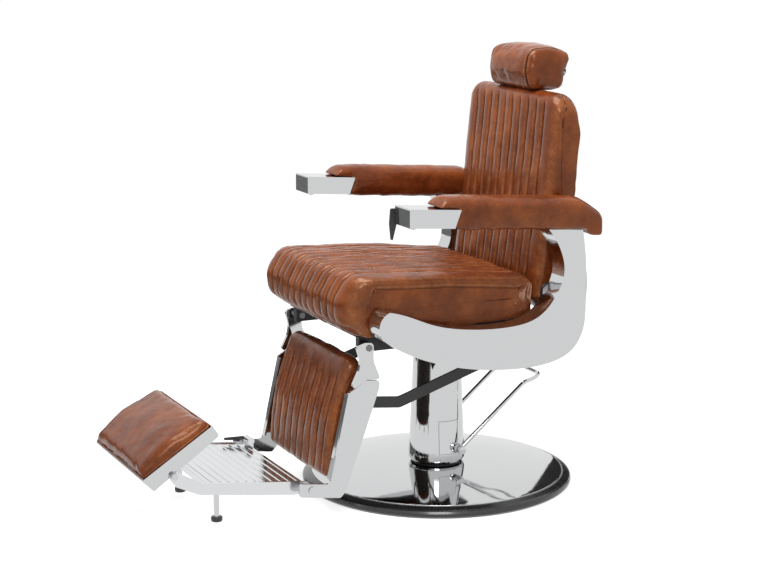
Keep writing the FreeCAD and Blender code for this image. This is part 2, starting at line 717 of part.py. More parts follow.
def build_carrier():
    bottom = "ram_top + seat_gap"
    slab_box = box("swivel_slab", "swivel_plate_width", "swivel_plate_length", "swivel_plate_thickness",
                   ("-swivel_plate_width / 2", "-swivel_plate_length / 2", bottom))
    socket = turned("swivel_socket", [
        ("ram_radius + running_gap", "ram_top - hub_depth"),
        ("hub_radius", "ram_top - hub_depth"),
        ("hub_radius", bottom),
        ("ram_radius + running_gap", bottom),
    ])
    keep(fuse("swivel_weldment", [slab_box, socket]), "swivel_plate")

    plate_top = "ram_top + seat_gap + swivel_plate_thickness"
    members = []
    for name, side in SIDES.items():
        start = "rail_inside" if side > 0 else "-rail_inside - rail_width"
        members.append(box("rail_" + name, "rail_width", "rail_rear - rail_front", "rail_top - rail_bottom",
                           (start, "rail_front", "rail_bottom")))
        members.append(box("bearer_" + name, "2 * (rail_inside + rail_width)", "bearer_width",
                           "rail_bottom - (%s)" % plate_top,
                           ("-rail_inside - rail_width", "%d * bearer_offset - bearer_width / 2" % side,
                            plate_top)))
        saddle = box("saddle_block_" + name, "36", "16", SPRING_AXIS + " - rail_bottom + 6",
                     ("-18", "%d * bearer_offset - 8" % side, "rail_bottom"))
        seat = cylinder("saddle_seat_" + name, "spring_body_radius", "20",
                        ("0", "%d * bearer_offset - 10" % side, SPRING_AXIS), "Y")
        members.append(cut("saddle_" + name, saddle, seat))
    frame = fuse("seat_frame_weldment", members)
    frame = hole("seat_frame_leg_holes", frame, "leg_pin_radius", "leg_hinge_back", "leg_hinge_height")
    keep(frame, "seat_frame")
    board = box("seat_board_sheet", "2 * (rail_inside + rail_width)", "board_rear - board_front",
                "board_thickness", ("-rail_inside - rail_width", "board_front", "rail_top"))
    keep(board, "seat_board")

    tubes, bolts = [], []
    for end in ("front", "rear"):
        at = (end + "_spacer_back", end + "_spacer_height")
        for name, side in SIDES.items():
            start = "rail_inside + rail_width" if side > 0 else "-panel_inside"
            outer = cylinder("spacer_%s_%s_outer" % (end, name), "spacer_radius",
                             "panel_inside - rail_inside - rail_width", (start,) + at, "X")
            bore = cylinder("spacer_%s_%s_bore" % (end, name), "spacer_bolt_radius + bolt_clearance",
                            "panel_inside - rail_inside - rail_width", (start,) + at, "X")
            tubes.append(cut("spacer_%s_%s" % (end, name), outer, bore))
            start = "rail_inside + rail_width" if side > 0 else "-panel_inside - 18"
            bolts.append(cylinder("spacer_bolt_%s_%s" % (end, name), "spacer_bolt_radius",
                                  "panel_inside - rail_inside - rail_width + 18", (start,) + at, "X"))
    keep(group("spacer_tubes", tubes), "panel_spacers")
    keep(group("spacer_bolts", bolts), "panel_bolts")


# The C-shaped side panels: thick chrome shells with a rolled rear edge.

PANEL_INNER_EDGE = [(-294, 531), (-241, 515), (-188, 493), (-67, 468), (30, 465), (114, 485),
                    (158, 530), (181, 588), (174, 632), (135, 697)]
PANEL_OUTER_EDGE = [(232, 688), (243, 600), (244, 512), (236, 432), (207, 390), (140, 363),
                    (50, 358), (-52, 367), (-161, 392), (-231, 418), (-307, 462)]
PANEL_NOSE = (-321, 497)
PANEL_ROLL_SHARE = [0.3, 0.9, 1.0, 0.55, 0.1, 0, 0, 0, 0, 0, 0]


def panel_edges(roll):
    """The inner and the outer edge of a side panel up to the arm pad, its rear edge moved by the roll."""
    inner = list(PANEL_INNER_EDGE)
    outer = [(y + roll * share, z) for (y, z), share in zip(PANEL_OUTER_EDGE, PANEL_ROLL_SHARE)]
    inner[-1] = (inner[-1][0], arm_underside(inner[-1][0]) - size("seat_gap"))
    outer[0] = (outer[0][0], arm_underside(outer[0][0]) - size("seat_gap"))
    return inner, outer


def panel_outline(x, roll):
    """The outline of a side panel at X = x."""
    inner, outer = panel_edges(roll)
    top = Part.makeLine(vector(x, *inner[-1]), vector(x, *outer[0]))
    nose = Part.Arc(vector(x, *outer[-1]), vector(x, *PANEL_NOSE), vector(x, *inner[0])).toShape()
    return Part.Wire(Part.__sortEdges__([smooth_edge(inner, x), top, smooth_edge(outer, x), nose]))


def moved_right(points, distance):
    """The points moved to the right of the way that they run, square to it."""
    moved = []
    for i, (y, z) in enumerate(points):
        before, after = points[max(i - 1, 0)], points[min(i + 1, len(points) - 1)]
        dy, dz = after[0] - before[0], after[1] - before[1]
        length = math.hypot(dy, dz)
        moved.append((y + dz / length * distance, z - dy / length * distance))
    return moved


def panel_hollow(x):
    """The outline of the space inside a side panel at X = x, a wall within its edges."""
    wall = size("panel_wall")
    inner, outer = panel_edges(0)
    inner, outer = moved_right(inner, wall)[1:], moved_right(outer, wall)[:-1]
    inner[-1] = (inner[-1][0], inner[-1][1] - wall)
    outer[0] = (outer[0][0], outer[0][1] - wall)
    top = Part.makeLine(vector(x, *inner[-1]), vector(x, *outer[0]))
    front = Part.makeLine(vector(x, *outer[-1]), vector(x, *inner[0]))
    return Part.Wire(Part.__sortEdges__([smooth_edge(inner, x), top, smooth_edge(outer, x), front]))


def build_side_panels():
    inside, outside = size("panel_inside"), size("panel_outside")
    bevel, roll = size("panel_bevel_start"), size("panel_roll")
    root = Part.Face(panel_outline(inside, roll)).extrude(vector(bevel - inside, 0, 0))
    rolled = Part.makeLoft([panel_outline(bevel, roll), panel_outline(outside, 0)], True, True)
    wall = size("panel_wall")
    hollow = Part.Face(panel_hollow(inside + wall)).extrude(vector(outside - inside - 2 * wall, 0, 0))
    panel = root.fuse(rolled).removeSplitter().cut(hollow)
    for end in ("front", "rear"):
        panel = panel.cut(pin_along_x(size("spacer_bolt_radius") + size("bolt_clearance"), inside - 1,
                                      inside + 20, size(end + "_spacer_back"), size(end + "_spacer_height")))
    keep(shaped("panel_left", panel), "left_side_panel")
    keep(shaped("panel_right", panel.mirror(vector(0, 0, 0), vector(1, 0, 0))), "right_side_panel")


# The seat cushion: eleven grooves run front to back and over the front edge.

def build_seat_cushion():
    bottom = size("rail_top") + size("board_thickness") + size("seat_gap")
    front, rear = size("seat_front"), size("seat_rear")
    corners = [
        (rear - 4, bottom, 12),
        (rear, size("seat_top_rear"), 30),
        (front + 270, size("seat_top_rear") + 26, 400),
        (front + 40, size("seat_top_front"), 52),
        (front, size("seat_top_front") - 66, 50),
        (front + 8, bottom + 27.7, 45),
        (front + 52, bottom, 26),
    ]
    shares = [0.1, 1, 1, 1, 1, 0.6, 0]
    stations = channel_stations(size("seat_half_width"), size("seat_channels"), size("channel_pitch"),
                                size("channel_depth"), 22, 6)
    form = cushion(corners, shares, stations)
    outline = waisted_outline(size("seat_half_width"), front - 20, rear + 1, size("side_draw"), 46,
                              lambda across, along: vector(across, along, bottom - 1))
    form = form.common(outline.extrude(vector(0, 0, 200)))
    keep(shaped("seat_form", form), "seat_cushion")


# The back: cushion, crank plates, cross tube and the flat bars that enter the cushion.

def build_back():
    hinge_y, hinge_z = size("hinge_back"), size("hinge_height")
    bottom, top = size("back_bottom"), size("back_top")
    corners = [
        (hinge_y + 71, bottom, 16),
        (hinge_y + 101, bottom + 274, 500),
        (hinge_y + 112, top - 80, 160),
        (hinge_y + 99, top, 44),
        (hinge_y + 32, top + 4, 34),
        (hinge_y + 4, bottom + 224, 600),
        (hinge_y - 22, bottom, 16),
    ]
    shares = [0, 0, 0.2, 0.8, 1, 1, 0]
    stations = channel_stations(size("back_half_width"), size("back_channels"), size("channel_pitch"),
                                size("channel_depth"), 20, 5)
    form = cushion(corners, shares, stations)
    outline = waisted_outline(size("back_half_width"), bottom - 1, top + 4, size("side_draw"), 52,
                              lambda across, along: vector(across, hinge_y - 52, along))
    form = form.common(outline.extrude(vector(0, 200, 0)))

    gap = size("seat_gap")
    bar_y = hinge_y + 33
    offset, width, gauge = size("upright_offset"), size("upright_width"), size("upright_gauge")
    tube_y, tube_z = hinge_y + 28, hinge_z - 44
    tube_radius = size("cross_tube_radius")
    length = size("upright_length")
    bars = []
    for side in SIDES.values():
        low = vector(side * offset - width / 2, bar_y, tube_z + tube_radius - 6)
        bars.append(Part.makeBox(width, gauge, bottom + length - low.z, low))
        room = Part.makeBox(width + 2 * gap, gauge + 2 * gap, length + gap + 1,
                            vector(low.x - gap, low.y - gap, bottom - 1))
        form = form.cut(room)
    bar_gap = 0.4
    bar_width, bar_gauge = size("headrest_bar_width"), size("headrest_bar_gauge")
    for side in SIDES.values():
        form = form.cut(Part.makeBox(bar_width + 2 * bar_gap, bar_gauge + 2 * bar_gap,
                                     size("headrest_bar_length") + 20,
                                     vector(side * size("headrest_bar_offset") - bar_width / 2 - bar_gap,
                                            size("headrest_bar_back") - bar_gap,
                                            top - size("headrest_bar_length") - 12)))
    keep(shaped("back_form", form), "back_cushion")

    crank_in, crank_out = size("crank_inside"), size("crank_inside") + size("crank_gauge")
    half = size("crank_half_width")
    pin_y, pin_z = hinge_y + size("link_offset_back"), hinge_z + size("link_offset_height")
    outline = rounded_wire([
        (pin_y - half, pin_z - half, half - 1),
        (pin_y + half, pin_z - half, half - 1),
        (tube_y + 18, tube_z - 14, 14),
        (tube_y + 18, tube_z + 16, 12),
        (hinge_y + half, hinge_z + half + 3, 16),
        (hinge_y - half, hinge_z + half + 3, 16),
    ], 0)
    plate_left = slab(outline, crank_in, crank_out)
    plate_left = plate_left.cut(pin_along_x(size("hinge_pin_radius") + size("running_gap"),
                                            crank_in - 1, crank_out + 1, hinge_y, hinge_z))
    plate_right = plate_left.mirror(vector(0, 0, 0), vector(1, 0, 0))
    tube = pin_along_x(tube_radius, -crank_in, crank_in, tube_y, tube_z)
    lead, drop = math.radians(size("spring_lug_lead")), size("spring_lug_drop")
    lug_y, lug_z = hinge_y + drop * math.sin(lead), hinge_z - drop * math.cos(lead)
    lug_outline = rounded_wire([
        (lug_y - 10, lug_z - 10, 9), (lug_y + 10, lug_z - 10, 9),
        (tube_y + 11, tube_z, 2), (tube_y - 11, tube_z, 2)], 0)
    eye_half = size("spring_eye_gauge") / 2
    lugs = [slab(lug_outline, x, x + 5) for x in (-eye_half - 6, eye_half + 1)]
    lug_pin = pin_along_x(size("spring_pin_radius"), -eye_half - 7, eye_half + 7, lug_y, lug_z)
    weldment = plate_left.fuse([plate_right, tube, lug_pin] + lugs + bars).removeSplitter()
    keep(shaped("back_frame_weldment", weldment), "back_frame")

    crank_pins = pin_along_x(size("strap_pin_radius"), size("strap_inside") - 5, crank_in, pin_y, pin_z)
    keep(shaped("crank_pin_pair", both_sides(crank_pins)), "crank_pins")

    pivot = pin_along_x(size("hinge_pin_radius"), crank_in - 1, size("panel_inside"), hinge_y, hinge_z)
    flange = pin_along_x(18, crank_out + 0.5, size("panel_inside"), hinge_y, hinge_z)
    keep(shaped("back_pivot_pair", both_sides(pivot.fuse(flange).removeSplitter())), "back_pivots")


# The locking gas spring under the seat. Its rod moves straight, so the eye on the rod is a slot that
# lets the pin on the back frame dip through the middle of its arc.

def build_gas_spring():
    lead, drop = math.radians(size("spring_lug_lead")), size("spring_lug_drop")
    pin_y = size("hinge_back") + drop * math.sin(lead)
    pin_z = size("hinge_height") - drop * math.cos(lead)
    axis_z = value(SPRING_AXIS)
    front, rear = size("spring_body_front"), size("spring_body_rear")
    rod_radius, body_radius = size("spring_rod_radius"), size("spring_body_radius")
    along = vector(0, 1, 0)
    body = Part.makeCylinder(body_radius, rear - front, vector(0, front, axis_z), along)
    bore = Part.makeCylinder(body_radius - 3, rear - front - 14, vector(0, front + 6, axis_z), along)
    way = Part.makeCylinder(rod_radius + size("running_gap"), 20, vector(0, rear - 14, axis_z), along)
    keep(shaped("gas_spring_tube", body.cut(bore).cut(way)), "gas_spring_cylinder")

    gauge, pin_radius = size("spring_eye_gauge"), size("spring_pin_radius")
    dip = drop * (1 - math.cos(lead))
    room = 0.8
    eye_outline = rounded_wire([
        (pin_y - 13, pin_z - dip - 13, 6), (pin_y + 13, pin_z - dip - 13, 6),
        (pin_y + 13, pin_z + 13, 6), (pin_y - 13, pin_z + 13, 6)], 0)
    slot_outline = rounded_wire([
        (pin_y - pin_radius - room, pin_z - dip - pin_radius - 1.5, 4),
        (pin_y + pin_radius + room, pin_z - dip - pin_radius - 1.5, 4),
        (pin_y + pin_radius + room, pin_z + pin_radius + 1.5, 4),
        (pin_y - pin_radius - room, pin_z + pin_radius + 1.5, 4)], 0)
    eye = slab(eye_outline, -gauge / 2, gauge / 2)
    rod_front = front + 96
    rod = Part.makeCylinder(rod_radius, pin_y - 9 - rod_front, vector(0, rod_front, axis_z), along)
    piston = Part.makeCylinder(body_radius - 3 - size("running_gap"), 8, vector(0, rod_front, axis_z), along)
    rod = rod.fuse([piston, eye]).cut(slab(slot_outline, -gauge, gauge)).removeSplitter()
    keep(shaped("gas_spring_piston_rod", rod), "gas_spring_rod")


# The headrest: two bars that slide in the back, a hinge, a padded block.

def build_headrest():
    bar_y, gauge = size("headrest_bar_back"), size("headrest_bar_gauge")
    width, offset = size("headrest_bar_width"), size("headrest_bar_offset")
    top, low = size("back_top"), size("headrest_bottom")
    axis_y, axis_z = size("headrest_hinge_back"), size("headrest_hinge_height")
    pin_radius, gap = size("headrest_pin_radius"), size("running_gap")
    leaf_z = low - gauge - 1
    bars = []
    for side in SIDES.values():
        left = side * offset - width / 2
        bar = Part.makeBox(width, gauge, leaf_z + gauge - top + size("headrest_bar_length"),
                           vector(left, bar_y, top - size("headrest_bar_length")))
        leaf = Part.makeBox(width, axis_y + 2 - bar_y, gauge, vector(left, bar_y, leaf_z))
        ear = Part.makeBox(width, gauge, axis_z - leaf_z, vector(left, axis_y - gauge / 2, leaf_z))
        barrel = pin_along_x(pin_radius + 4, left, left + width, axis_y, axis_z)
        bore = pin_along_x(pin_radius + gap, left - 1, left + width + 1, axis_y, axis_z)
        bars.append(bar.fuse([leaf, ear, barrel]).cut(bore).removeSplitter())
    keep(shaped("headrest_bar_pair", Part.makeCompound(bars)), "headrest_bars")

    inner, outer = offset - width / 2, offset + width / 2
    plates = []
    for x_from, x_to in ((-outer - 6, -outer - 1), (-inner + 1, inner - 1), (outer + 1, outer + 6)):
        wing = slab(rounded_wire([(axis_y - 22, axis_z - 9, 3), (axis_y + 3, axis_z - 9, 5),
                                  (axis_y + 9, axis_z + 2, 6), (axis_y + 1, axis_z + 34, 3),
                                  (axis_y - 14, axis_z + 34, 3)], 0), x_from, x_to)
        plates.append(wing)
    pin = pin_along_x(pin_radius, -outer - 8, outer + 8, axis_y, axis_z)
    hinge_plates = [wing.cut(pin) for wing in plates]
    keep(shaped("headrest_pin_bar", pin), "headrest_pin")

    half = size("headrest_half_width")
    face, crown = size("headrest_front"), size("headrest_top")
    corners = [
        (axis_y - 19, low, 8),
        (axis_y - 12, axis_z + 2, 12),
        (axis_y + 8, crown - 12, 18),
        (face + 74, crown, 120),
        (face + 10, crown - 2, 24),
        (face, low + 42, 90),
        (face + 4, low, 20),
    ]
    shares = [0.3, 0.3, 1, 1, 1, 1, 0.4]
    stations = [(-half, 16), (-half + 5, 7), (-half + 16, 3), (-half * 0.45, 0.8), (0, 0),
                (half * 0.45, 0.8), (half - 16, 3), (half - 5, 7), (half, 16)]
    form = cushion(corners, shares, stations)
    barrel_room = pin_along_x(pin_radius + 6, -outer - 9, outer + 9, axis_y, axis_z)
    bracket_room = Part.makeCompound(hinge_plates)
    form = form.cut(barrel_room)
    ear_room = Part.makeBox(2 * outer + 2, 26, 60, vector(-outer - 1, axis_y - 12, low - 12))
    form = form.cut(ear_room).cut(bracket_room)
    keep(shaped("headrest_plate_set", Part.makeCompound(hinge_plates)), "headrest_hinge")
    keep(shaped("headrest_form", form), "headrest_cushion")


# The armrests: chrome nose block, steel bar, leather pad, and the recline trigger on the left one.

def arm_line(z_at_start, y):
    """Height at y of a line that falls to the rear with the armrest."""
    return z_at_start - size("arm_slope") * (y - size("arm_block_rear"))


def arm_underside(y):
    """Underside of an arm pad at y, where it rests on its side panel."""
    return arm_line(size("block_top") - size("arm_pad_depth"), y)


def build_armrests():
    inside, outside = size("arm_inside"), size("arm_outside")
    front, meet, rear = size("arm_front"), size("arm_block_rear"), size("arm_rear")
    top, depth = size("block_top"), size("block_depth")
    meet_low = meet - 17
    block_outline = rounded_wire([
        (front, arm_line(top, front), 3),
        (front, arm_line(top - depth, front), 3),
        (front + 10, arm_line(top - depth - 4, front + 10), 2),
        (front + 18, arm_line(top - depth, front + 18), 2),
        (meet_low, arm_line(top - depth, meet_low), 2),
        (meet, arm_line(top, meet), 1),
    ], 0)
    block = slab(block_outline, inside, outside)
    relief = Part.makeBox(outside - inside - 16, meet_low - front - 40, 7,
                          vector(inside + 8, front + 22, arm_line(top - depth, front) - 8))
    block = block.cut(relief)
    pin_room = pin_along_x(size("trigger_pin_radius") + size("running_gap"), inside - 1, inside + 16,
                           size("trigger_back"), size("trigger_height"))

    crown_rise = size("arm_height") - top
    pad_low = top - size("arm_pad_depth")
    corners = [
        (meet_low + 1, arm_line(pad_low, meet_low), 2),
        (meet_low - 40, arm_line(top + 4, meet_low - 40), 2),
        (meet - 34, arm_line(top + crown_rise - 4, meet - 34), 14),
        (rear - 66, arm_line(top + crown_rise, rear - 66), 60),
        (rear, arm_line(top - 8, rear), 30),
        (rear, arm_line(pad_low - 15, rear), 10),
        (rear - 38, arm_line(pad_low - 15, rear - 38), 8),
        (rear - 49, arm_line(pad_low, rear - 49), 8),
    ]
    shares = [0, 0.2, 1, 0.6, 0.5, 0, 0, 0]
    width = outside - inside
    middle = (inside + outside) / 2
    stations = [(inside, 19), (inside + 3, 12), (inside + 12, 5.5), (middle - width * 0.18, 0.8), (middle, 0),
                (middle + width * 0.18, 0.8), (outside - 12, 5.5), (outside - 3, 12), (outside, 19)]
    corners_clockwise = list(reversed(corners))
    shares_clockwise = list(reversed(shares[:-1])) + [shares[-1]]
    pad = cushion(corners_clockwise, shares_clockwise, stations)
    gap = size("seat_gap")
    front_room = slab(rounded_wire([
        (meet + gap, arm_line(top + gap, meet), 0.2),
        (meet - 120, arm_line(top + gap, meet - 120), 0.2),
        (meet - 120, arm_line(top - 90, meet - 120), 0.2),
        (meet_low + gap - 17, arm_line(top - 90, meet_low), 0.2),
    ], 0), inside - 1, outside + 1)
    pad = pad.cut(front_room)

    bar_half = size("arm_bar_width") / 2
    bar_front, bar_rear = meet_low + 3, rear - 70
    bar_gauge = size("arm_bar_gauge")
    bar_outline = [
        (bar_front, arm_line(pad_low, bar_front), 0.5),
        (bar_rear, arm_line(pad_low, bar_rear), 0.5),
        (bar_rear, arm_line(pad_low + bar_gauge, bar_rear), 0.5),
        (bar_front, arm_line(pad_low + bar_gauge, bar_front), 0.5),
    ]
    bar = slab(rounded_wire(bar_outline, 0), middle - bar_half, middle + bar_half)
    room_outline = [
        (bar_front - 5, arm_line(pad_low - 5, bar_front - 5), 0.5),
        (bar_rear + gap, arm_line(pad_low - 5, bar_rear), 0.5),
        (bar_rear + gap, arm_line(pad_low + bar_gauge + gap, bar_rear), 0.5),
        (bar_front - 5, arm_line(pad_low + bar_gauge + gap, bar_front - 5), 0.5),
    ]
    pad = pad.cut(slab(rounded_wire(room_outline, 0), middle - bar_half - gap, middle + bar_half + gap))
    keep(shaped("arm_block_left", block.cut(pin_room)), "left_arm_block")
    for name, side in SIDES.items():
        flip = (lambda s: s) if side > 0 else (lambda s: s.mirror(vector(0, 0, 0), vector(1, 0, 0)))
        if side < 0:
            keep(shaped("arm_block_right", flip(block)), "right_arm_block")
        keep(shaped("arm_pad_" + name, flip(pad)), name + "_arm_pad")
        keep(shaped("arm_bar_" + name, flip(bar)), name + "_arm_bar")

    pin_y, pin_z, gauge = size("trigger_back"), size("trigger_height"), size("trigger_gauge")
    blade = slab(rounded_wire([
        (pin_y - 12, pin_z + 9, 4), (pin_y + 9, pin_z + 8, 4), (pin_y + 3, pin_z - 30, 20),
        (pin_y - 7, pin_z - 68, 1.5), (pin_y - 11, pin_z - 66, 1.5), (pin_y - 15, pin_z - 28, 20),
    ], 0), inside - 1 - gauge, inside - 1)
    trigger_pin = pin_along_x(size("trigger_pin_radius"), inside - 1 - gauge, inside + 14, pin_y, pin_z)
    keep(shaped("trigger_blade", blade.fuse(trigger_pin).removeSplitter()), "recline_trigger")


# The leg rest: posts, arms, straps, calf cushion on its board.

def build_leg_rest():
    axis_y, axis_z = size("leg_hinge_back"), size("leg_hinge_height")
    inside, gauge = size("post_inside"), size("post_gauge")
    outside = inside + gauge
    pin_y, pin_z = axis_y + size("link_offset_back"), axis_z + size("link_offset_height")
    foot_y, foot_z = size("foot_hinge_back"), size("foot_hinge_height")
    running = size("running_gap")
    post_outline = rounded_wire([
        (axis_y + 30, axis_z - 84, 8),
        (axis_y + 28, axis_z - 104, 14),
        (axis_y - 62, axis_z - 352, 12),
        (axis_y - 76, axis_z - 366, 8),
        (foot_y - 34, foot_z - 13, 8),
        (foot_y - 33, foot_z + 20, 8),
        (axis_y - 103, axis_z - 328, 12),
        (axis_y - 54, axis_z - 108, 4),
        (axis_y - 6, axis_z - 80, 8),
    ], 0)
    post = slab(post_outline, inside, outside)
    flange_gauge = size("post_flange_gauge")
    flange_outline = rounded_wire([
        (axis_y - 54, axis_z - 112, 1), (axis_y - 54 + flange_gauge, axis_z - 114, 1),
        (axis_y - 103 + flange_gauge, axis_z - 322, 1), (axis_y - 103, axis_z - 318, 1)], 0)
    post = post.fuse(slab(flange_outline, inside - size("post_flange"), inside)).removeSplitter()
    post = post.cut(pin_along_x(size("foot_pin_radius") + running, inside - 30, outside + 1, foot_y, foot_z))
    keep(shaped("post_left", post), "left_leg_post")
    keep(shaped("post_right", post.mirror(vector(0, 0, 0), vector(1, 0, 0))), "right_leg_post")

    arm_outline = rounded_wire([
        (axis_y - 34, axis_z + 8, 10),
        (axis_y - 20, axis_z - 40, 60),
        (axis_y - 52, axis_z - 104, 6),
        (axis_y - 6, axis_z - 78, 4),
        (axis_y + 31, axis_z - 80, 6),
        (axis_y + 12, axis_z - 34, 60),
        (axis_y + 12, axis_z + 12, 11),
        (axis_y - 12, axis_z + 14, 11),
    ], 0)
    arm = slab(arm_outline, inside, outside + 3)
    arm = arm.cut(slab(post_outline, inside - 1, outside + 4))
    arm = arm.cut(pin_along_x(size("leg_pin_radius") + running, inside - 1, outside + 4, axis_y, axis_z))
    keep(shaped("leg_arm_pair", both_sides(arm)), "leg_arms")

    leg_pin = pin_along_x(size("leg_pin_radius"), size("rail_inside"), outside + 5, axis_y, axis_z)
    washer = pin_along_x(size("leg_pin_radius") + 5, size("rail_inside") + size("rail_width"), inside - 0.5,
                         axis_y, axis_z)
    keep(shaped("leg_pin_pair", both_sides(leg_pin.fuse(washer).removeSplitter())), "leg_pivots")

    strap_in, strap_out = size("strap_inside"), size("strap_inside") + size("strap_gauge")
    crank_y = size("hinge_back") + size("link_offset_back")
    crank_z = size("hinge_height") + size("link_offset_height")
    bend_y, bend_z = size("strap_bend_back"), size("strap_bend_height")
    half = size("strap_width") / 2
    strap = slab(strap_outline([(pin_y, pin_z), (bend_y, bend_z), (crank_y, crank_z)], half),
                 strap_in, strap_out)
    pin_room = size("strap_pin_radius") + running
    strap = strap.cut(pin_along_x(pin_room, strap_in - 1, strap_out + 1, pin_y, pin_z))
    strap = strap.cut(pin_along_x(pin_room, strap_in - 1, strap_out + 1, crank_y, crank_z))
    keep(shaped("strap_left", strap), "left_link_strap")
    keep(shaped("strap_right", strap.mirror(vector(0, 0, 0), vector(1, 0, 0))), "right_link_strap")
    strap_pin = pin_along_x(size("strap_pin_radius"), strap_in - 4, inside, pin_y, pin_z)
    keep(shaped("strap_pin_pair", both_sides(strap_pin)), "strap_pins")

    calf_half = size("calf_half_width")
    corners = [
        (axis_y - 44, axis_z - 330, 12),
        (axis_y - 30, axis_z - 190, 500),
        (axis_y + 2, axis_z - 40, 14),
        (axis_y - 34, axis_z - 18, 24),
        (axis_y - 94, axis_z - 190, 600),
        (axis_y - 104, axis_z - 328, 20),
    ]
    shares = [0, 0, 0.6, 1, 1, 0.5]
    stations = channel_stations(calf_half, size("calf_channels"), size("channel_pitch"),
                                size("channel_depth") * 0.7, 16, 4)
    form = cushion(corners, shares, stations)
    outline = waisted_outline(calf_half, axis_z - 333, axis_z - 16, size("side_draw") * 0.6, 40,
                              lambda across, along: vector(across, axis_y - 130, along))
    form = form.common(outline.extrude(vector(0, 160, 0)))
    board_gauge = size("calf_board_gauge")
    board_outline = rounded_wire([
        (axis_y - 43, axis_z - 318, 1),
        (axis_y - 43 + board_gauge, axis_z - 318, 1),
        (axis_y - 29 + board_gauge, axis_z - 190, 200),
        (axis_y - 7 + board_gauge, axis_z - 86, 1),
        (axis_y - 7, axis_z - 86, 1),
        (axis_y - 29, axis_z - 190, 200),
    ], 0)
    board = slab(board_outline, -calf_half + 12, calf_half - 12)
    form = form.cut(slab(board_outline, -calf_half + 11, calf_half - 11))
    bars = []
    for ahead, drop in ((18, 99), (58, 290)):
        at = (axis_y - ahead, axis_z - drop)
        bars.append(pin_along_x(size("calf_bar_radius"), -inside, inside, *at))
        room = pin_along_x(size("calf_bar_radius") + size("seat_gap"), -inside, inside, *at)
        form, board = form.cut(room), board.cut(room)
    keep(shaped("calf_form", form), "calf_cushion")
    keep(shaped("calf_board_sheet", board), "calf_board")
    keep(shaped("calf_bar_set", Part.makeCompound(bars)), "calf_cross_bars")


def strap_outline(points, half):
    """A flat strap of one width through three points, its ends rounded."""
    (ay, az), (by, bz), (cy, cz) = points

    def unit(y, z):
        length = math.hypot(y, z)
        return y / length, z / length

    uy, uz = unit(by - ay, bz - az)
    wy, wz = unit(cy - by, cz - bz)
    my, mz = unit(uy + wy, uz + wz)
    stretch = half / (uy * my + uz * mz)
    upper_bend = (by - mz * stretch, bz + my * stretch)
    lower_bend = (by + mz * stretch, bz - my * stretch)
    corners = [
        (ay - uy * half - uz * half, az - uz * half + uy * half, half - 0.5),
        upper_bend + (30,),
        (cy + wy * half - wz * half, cz + wz * half + wy * half, half - 0.5),
        (cy + wy * half + wz * half, cz + wz * half - wy * half, half - 0.5),
        lower_bend + (30,),
        (ay - uy * half + uz * half, az - uz * half - uy * half, half - 0.5),
    ]
    return rounded_wire(corners, 0)


# The foot plate: ribbed sheet between side rails, pivot bolts, support pegs, latch.

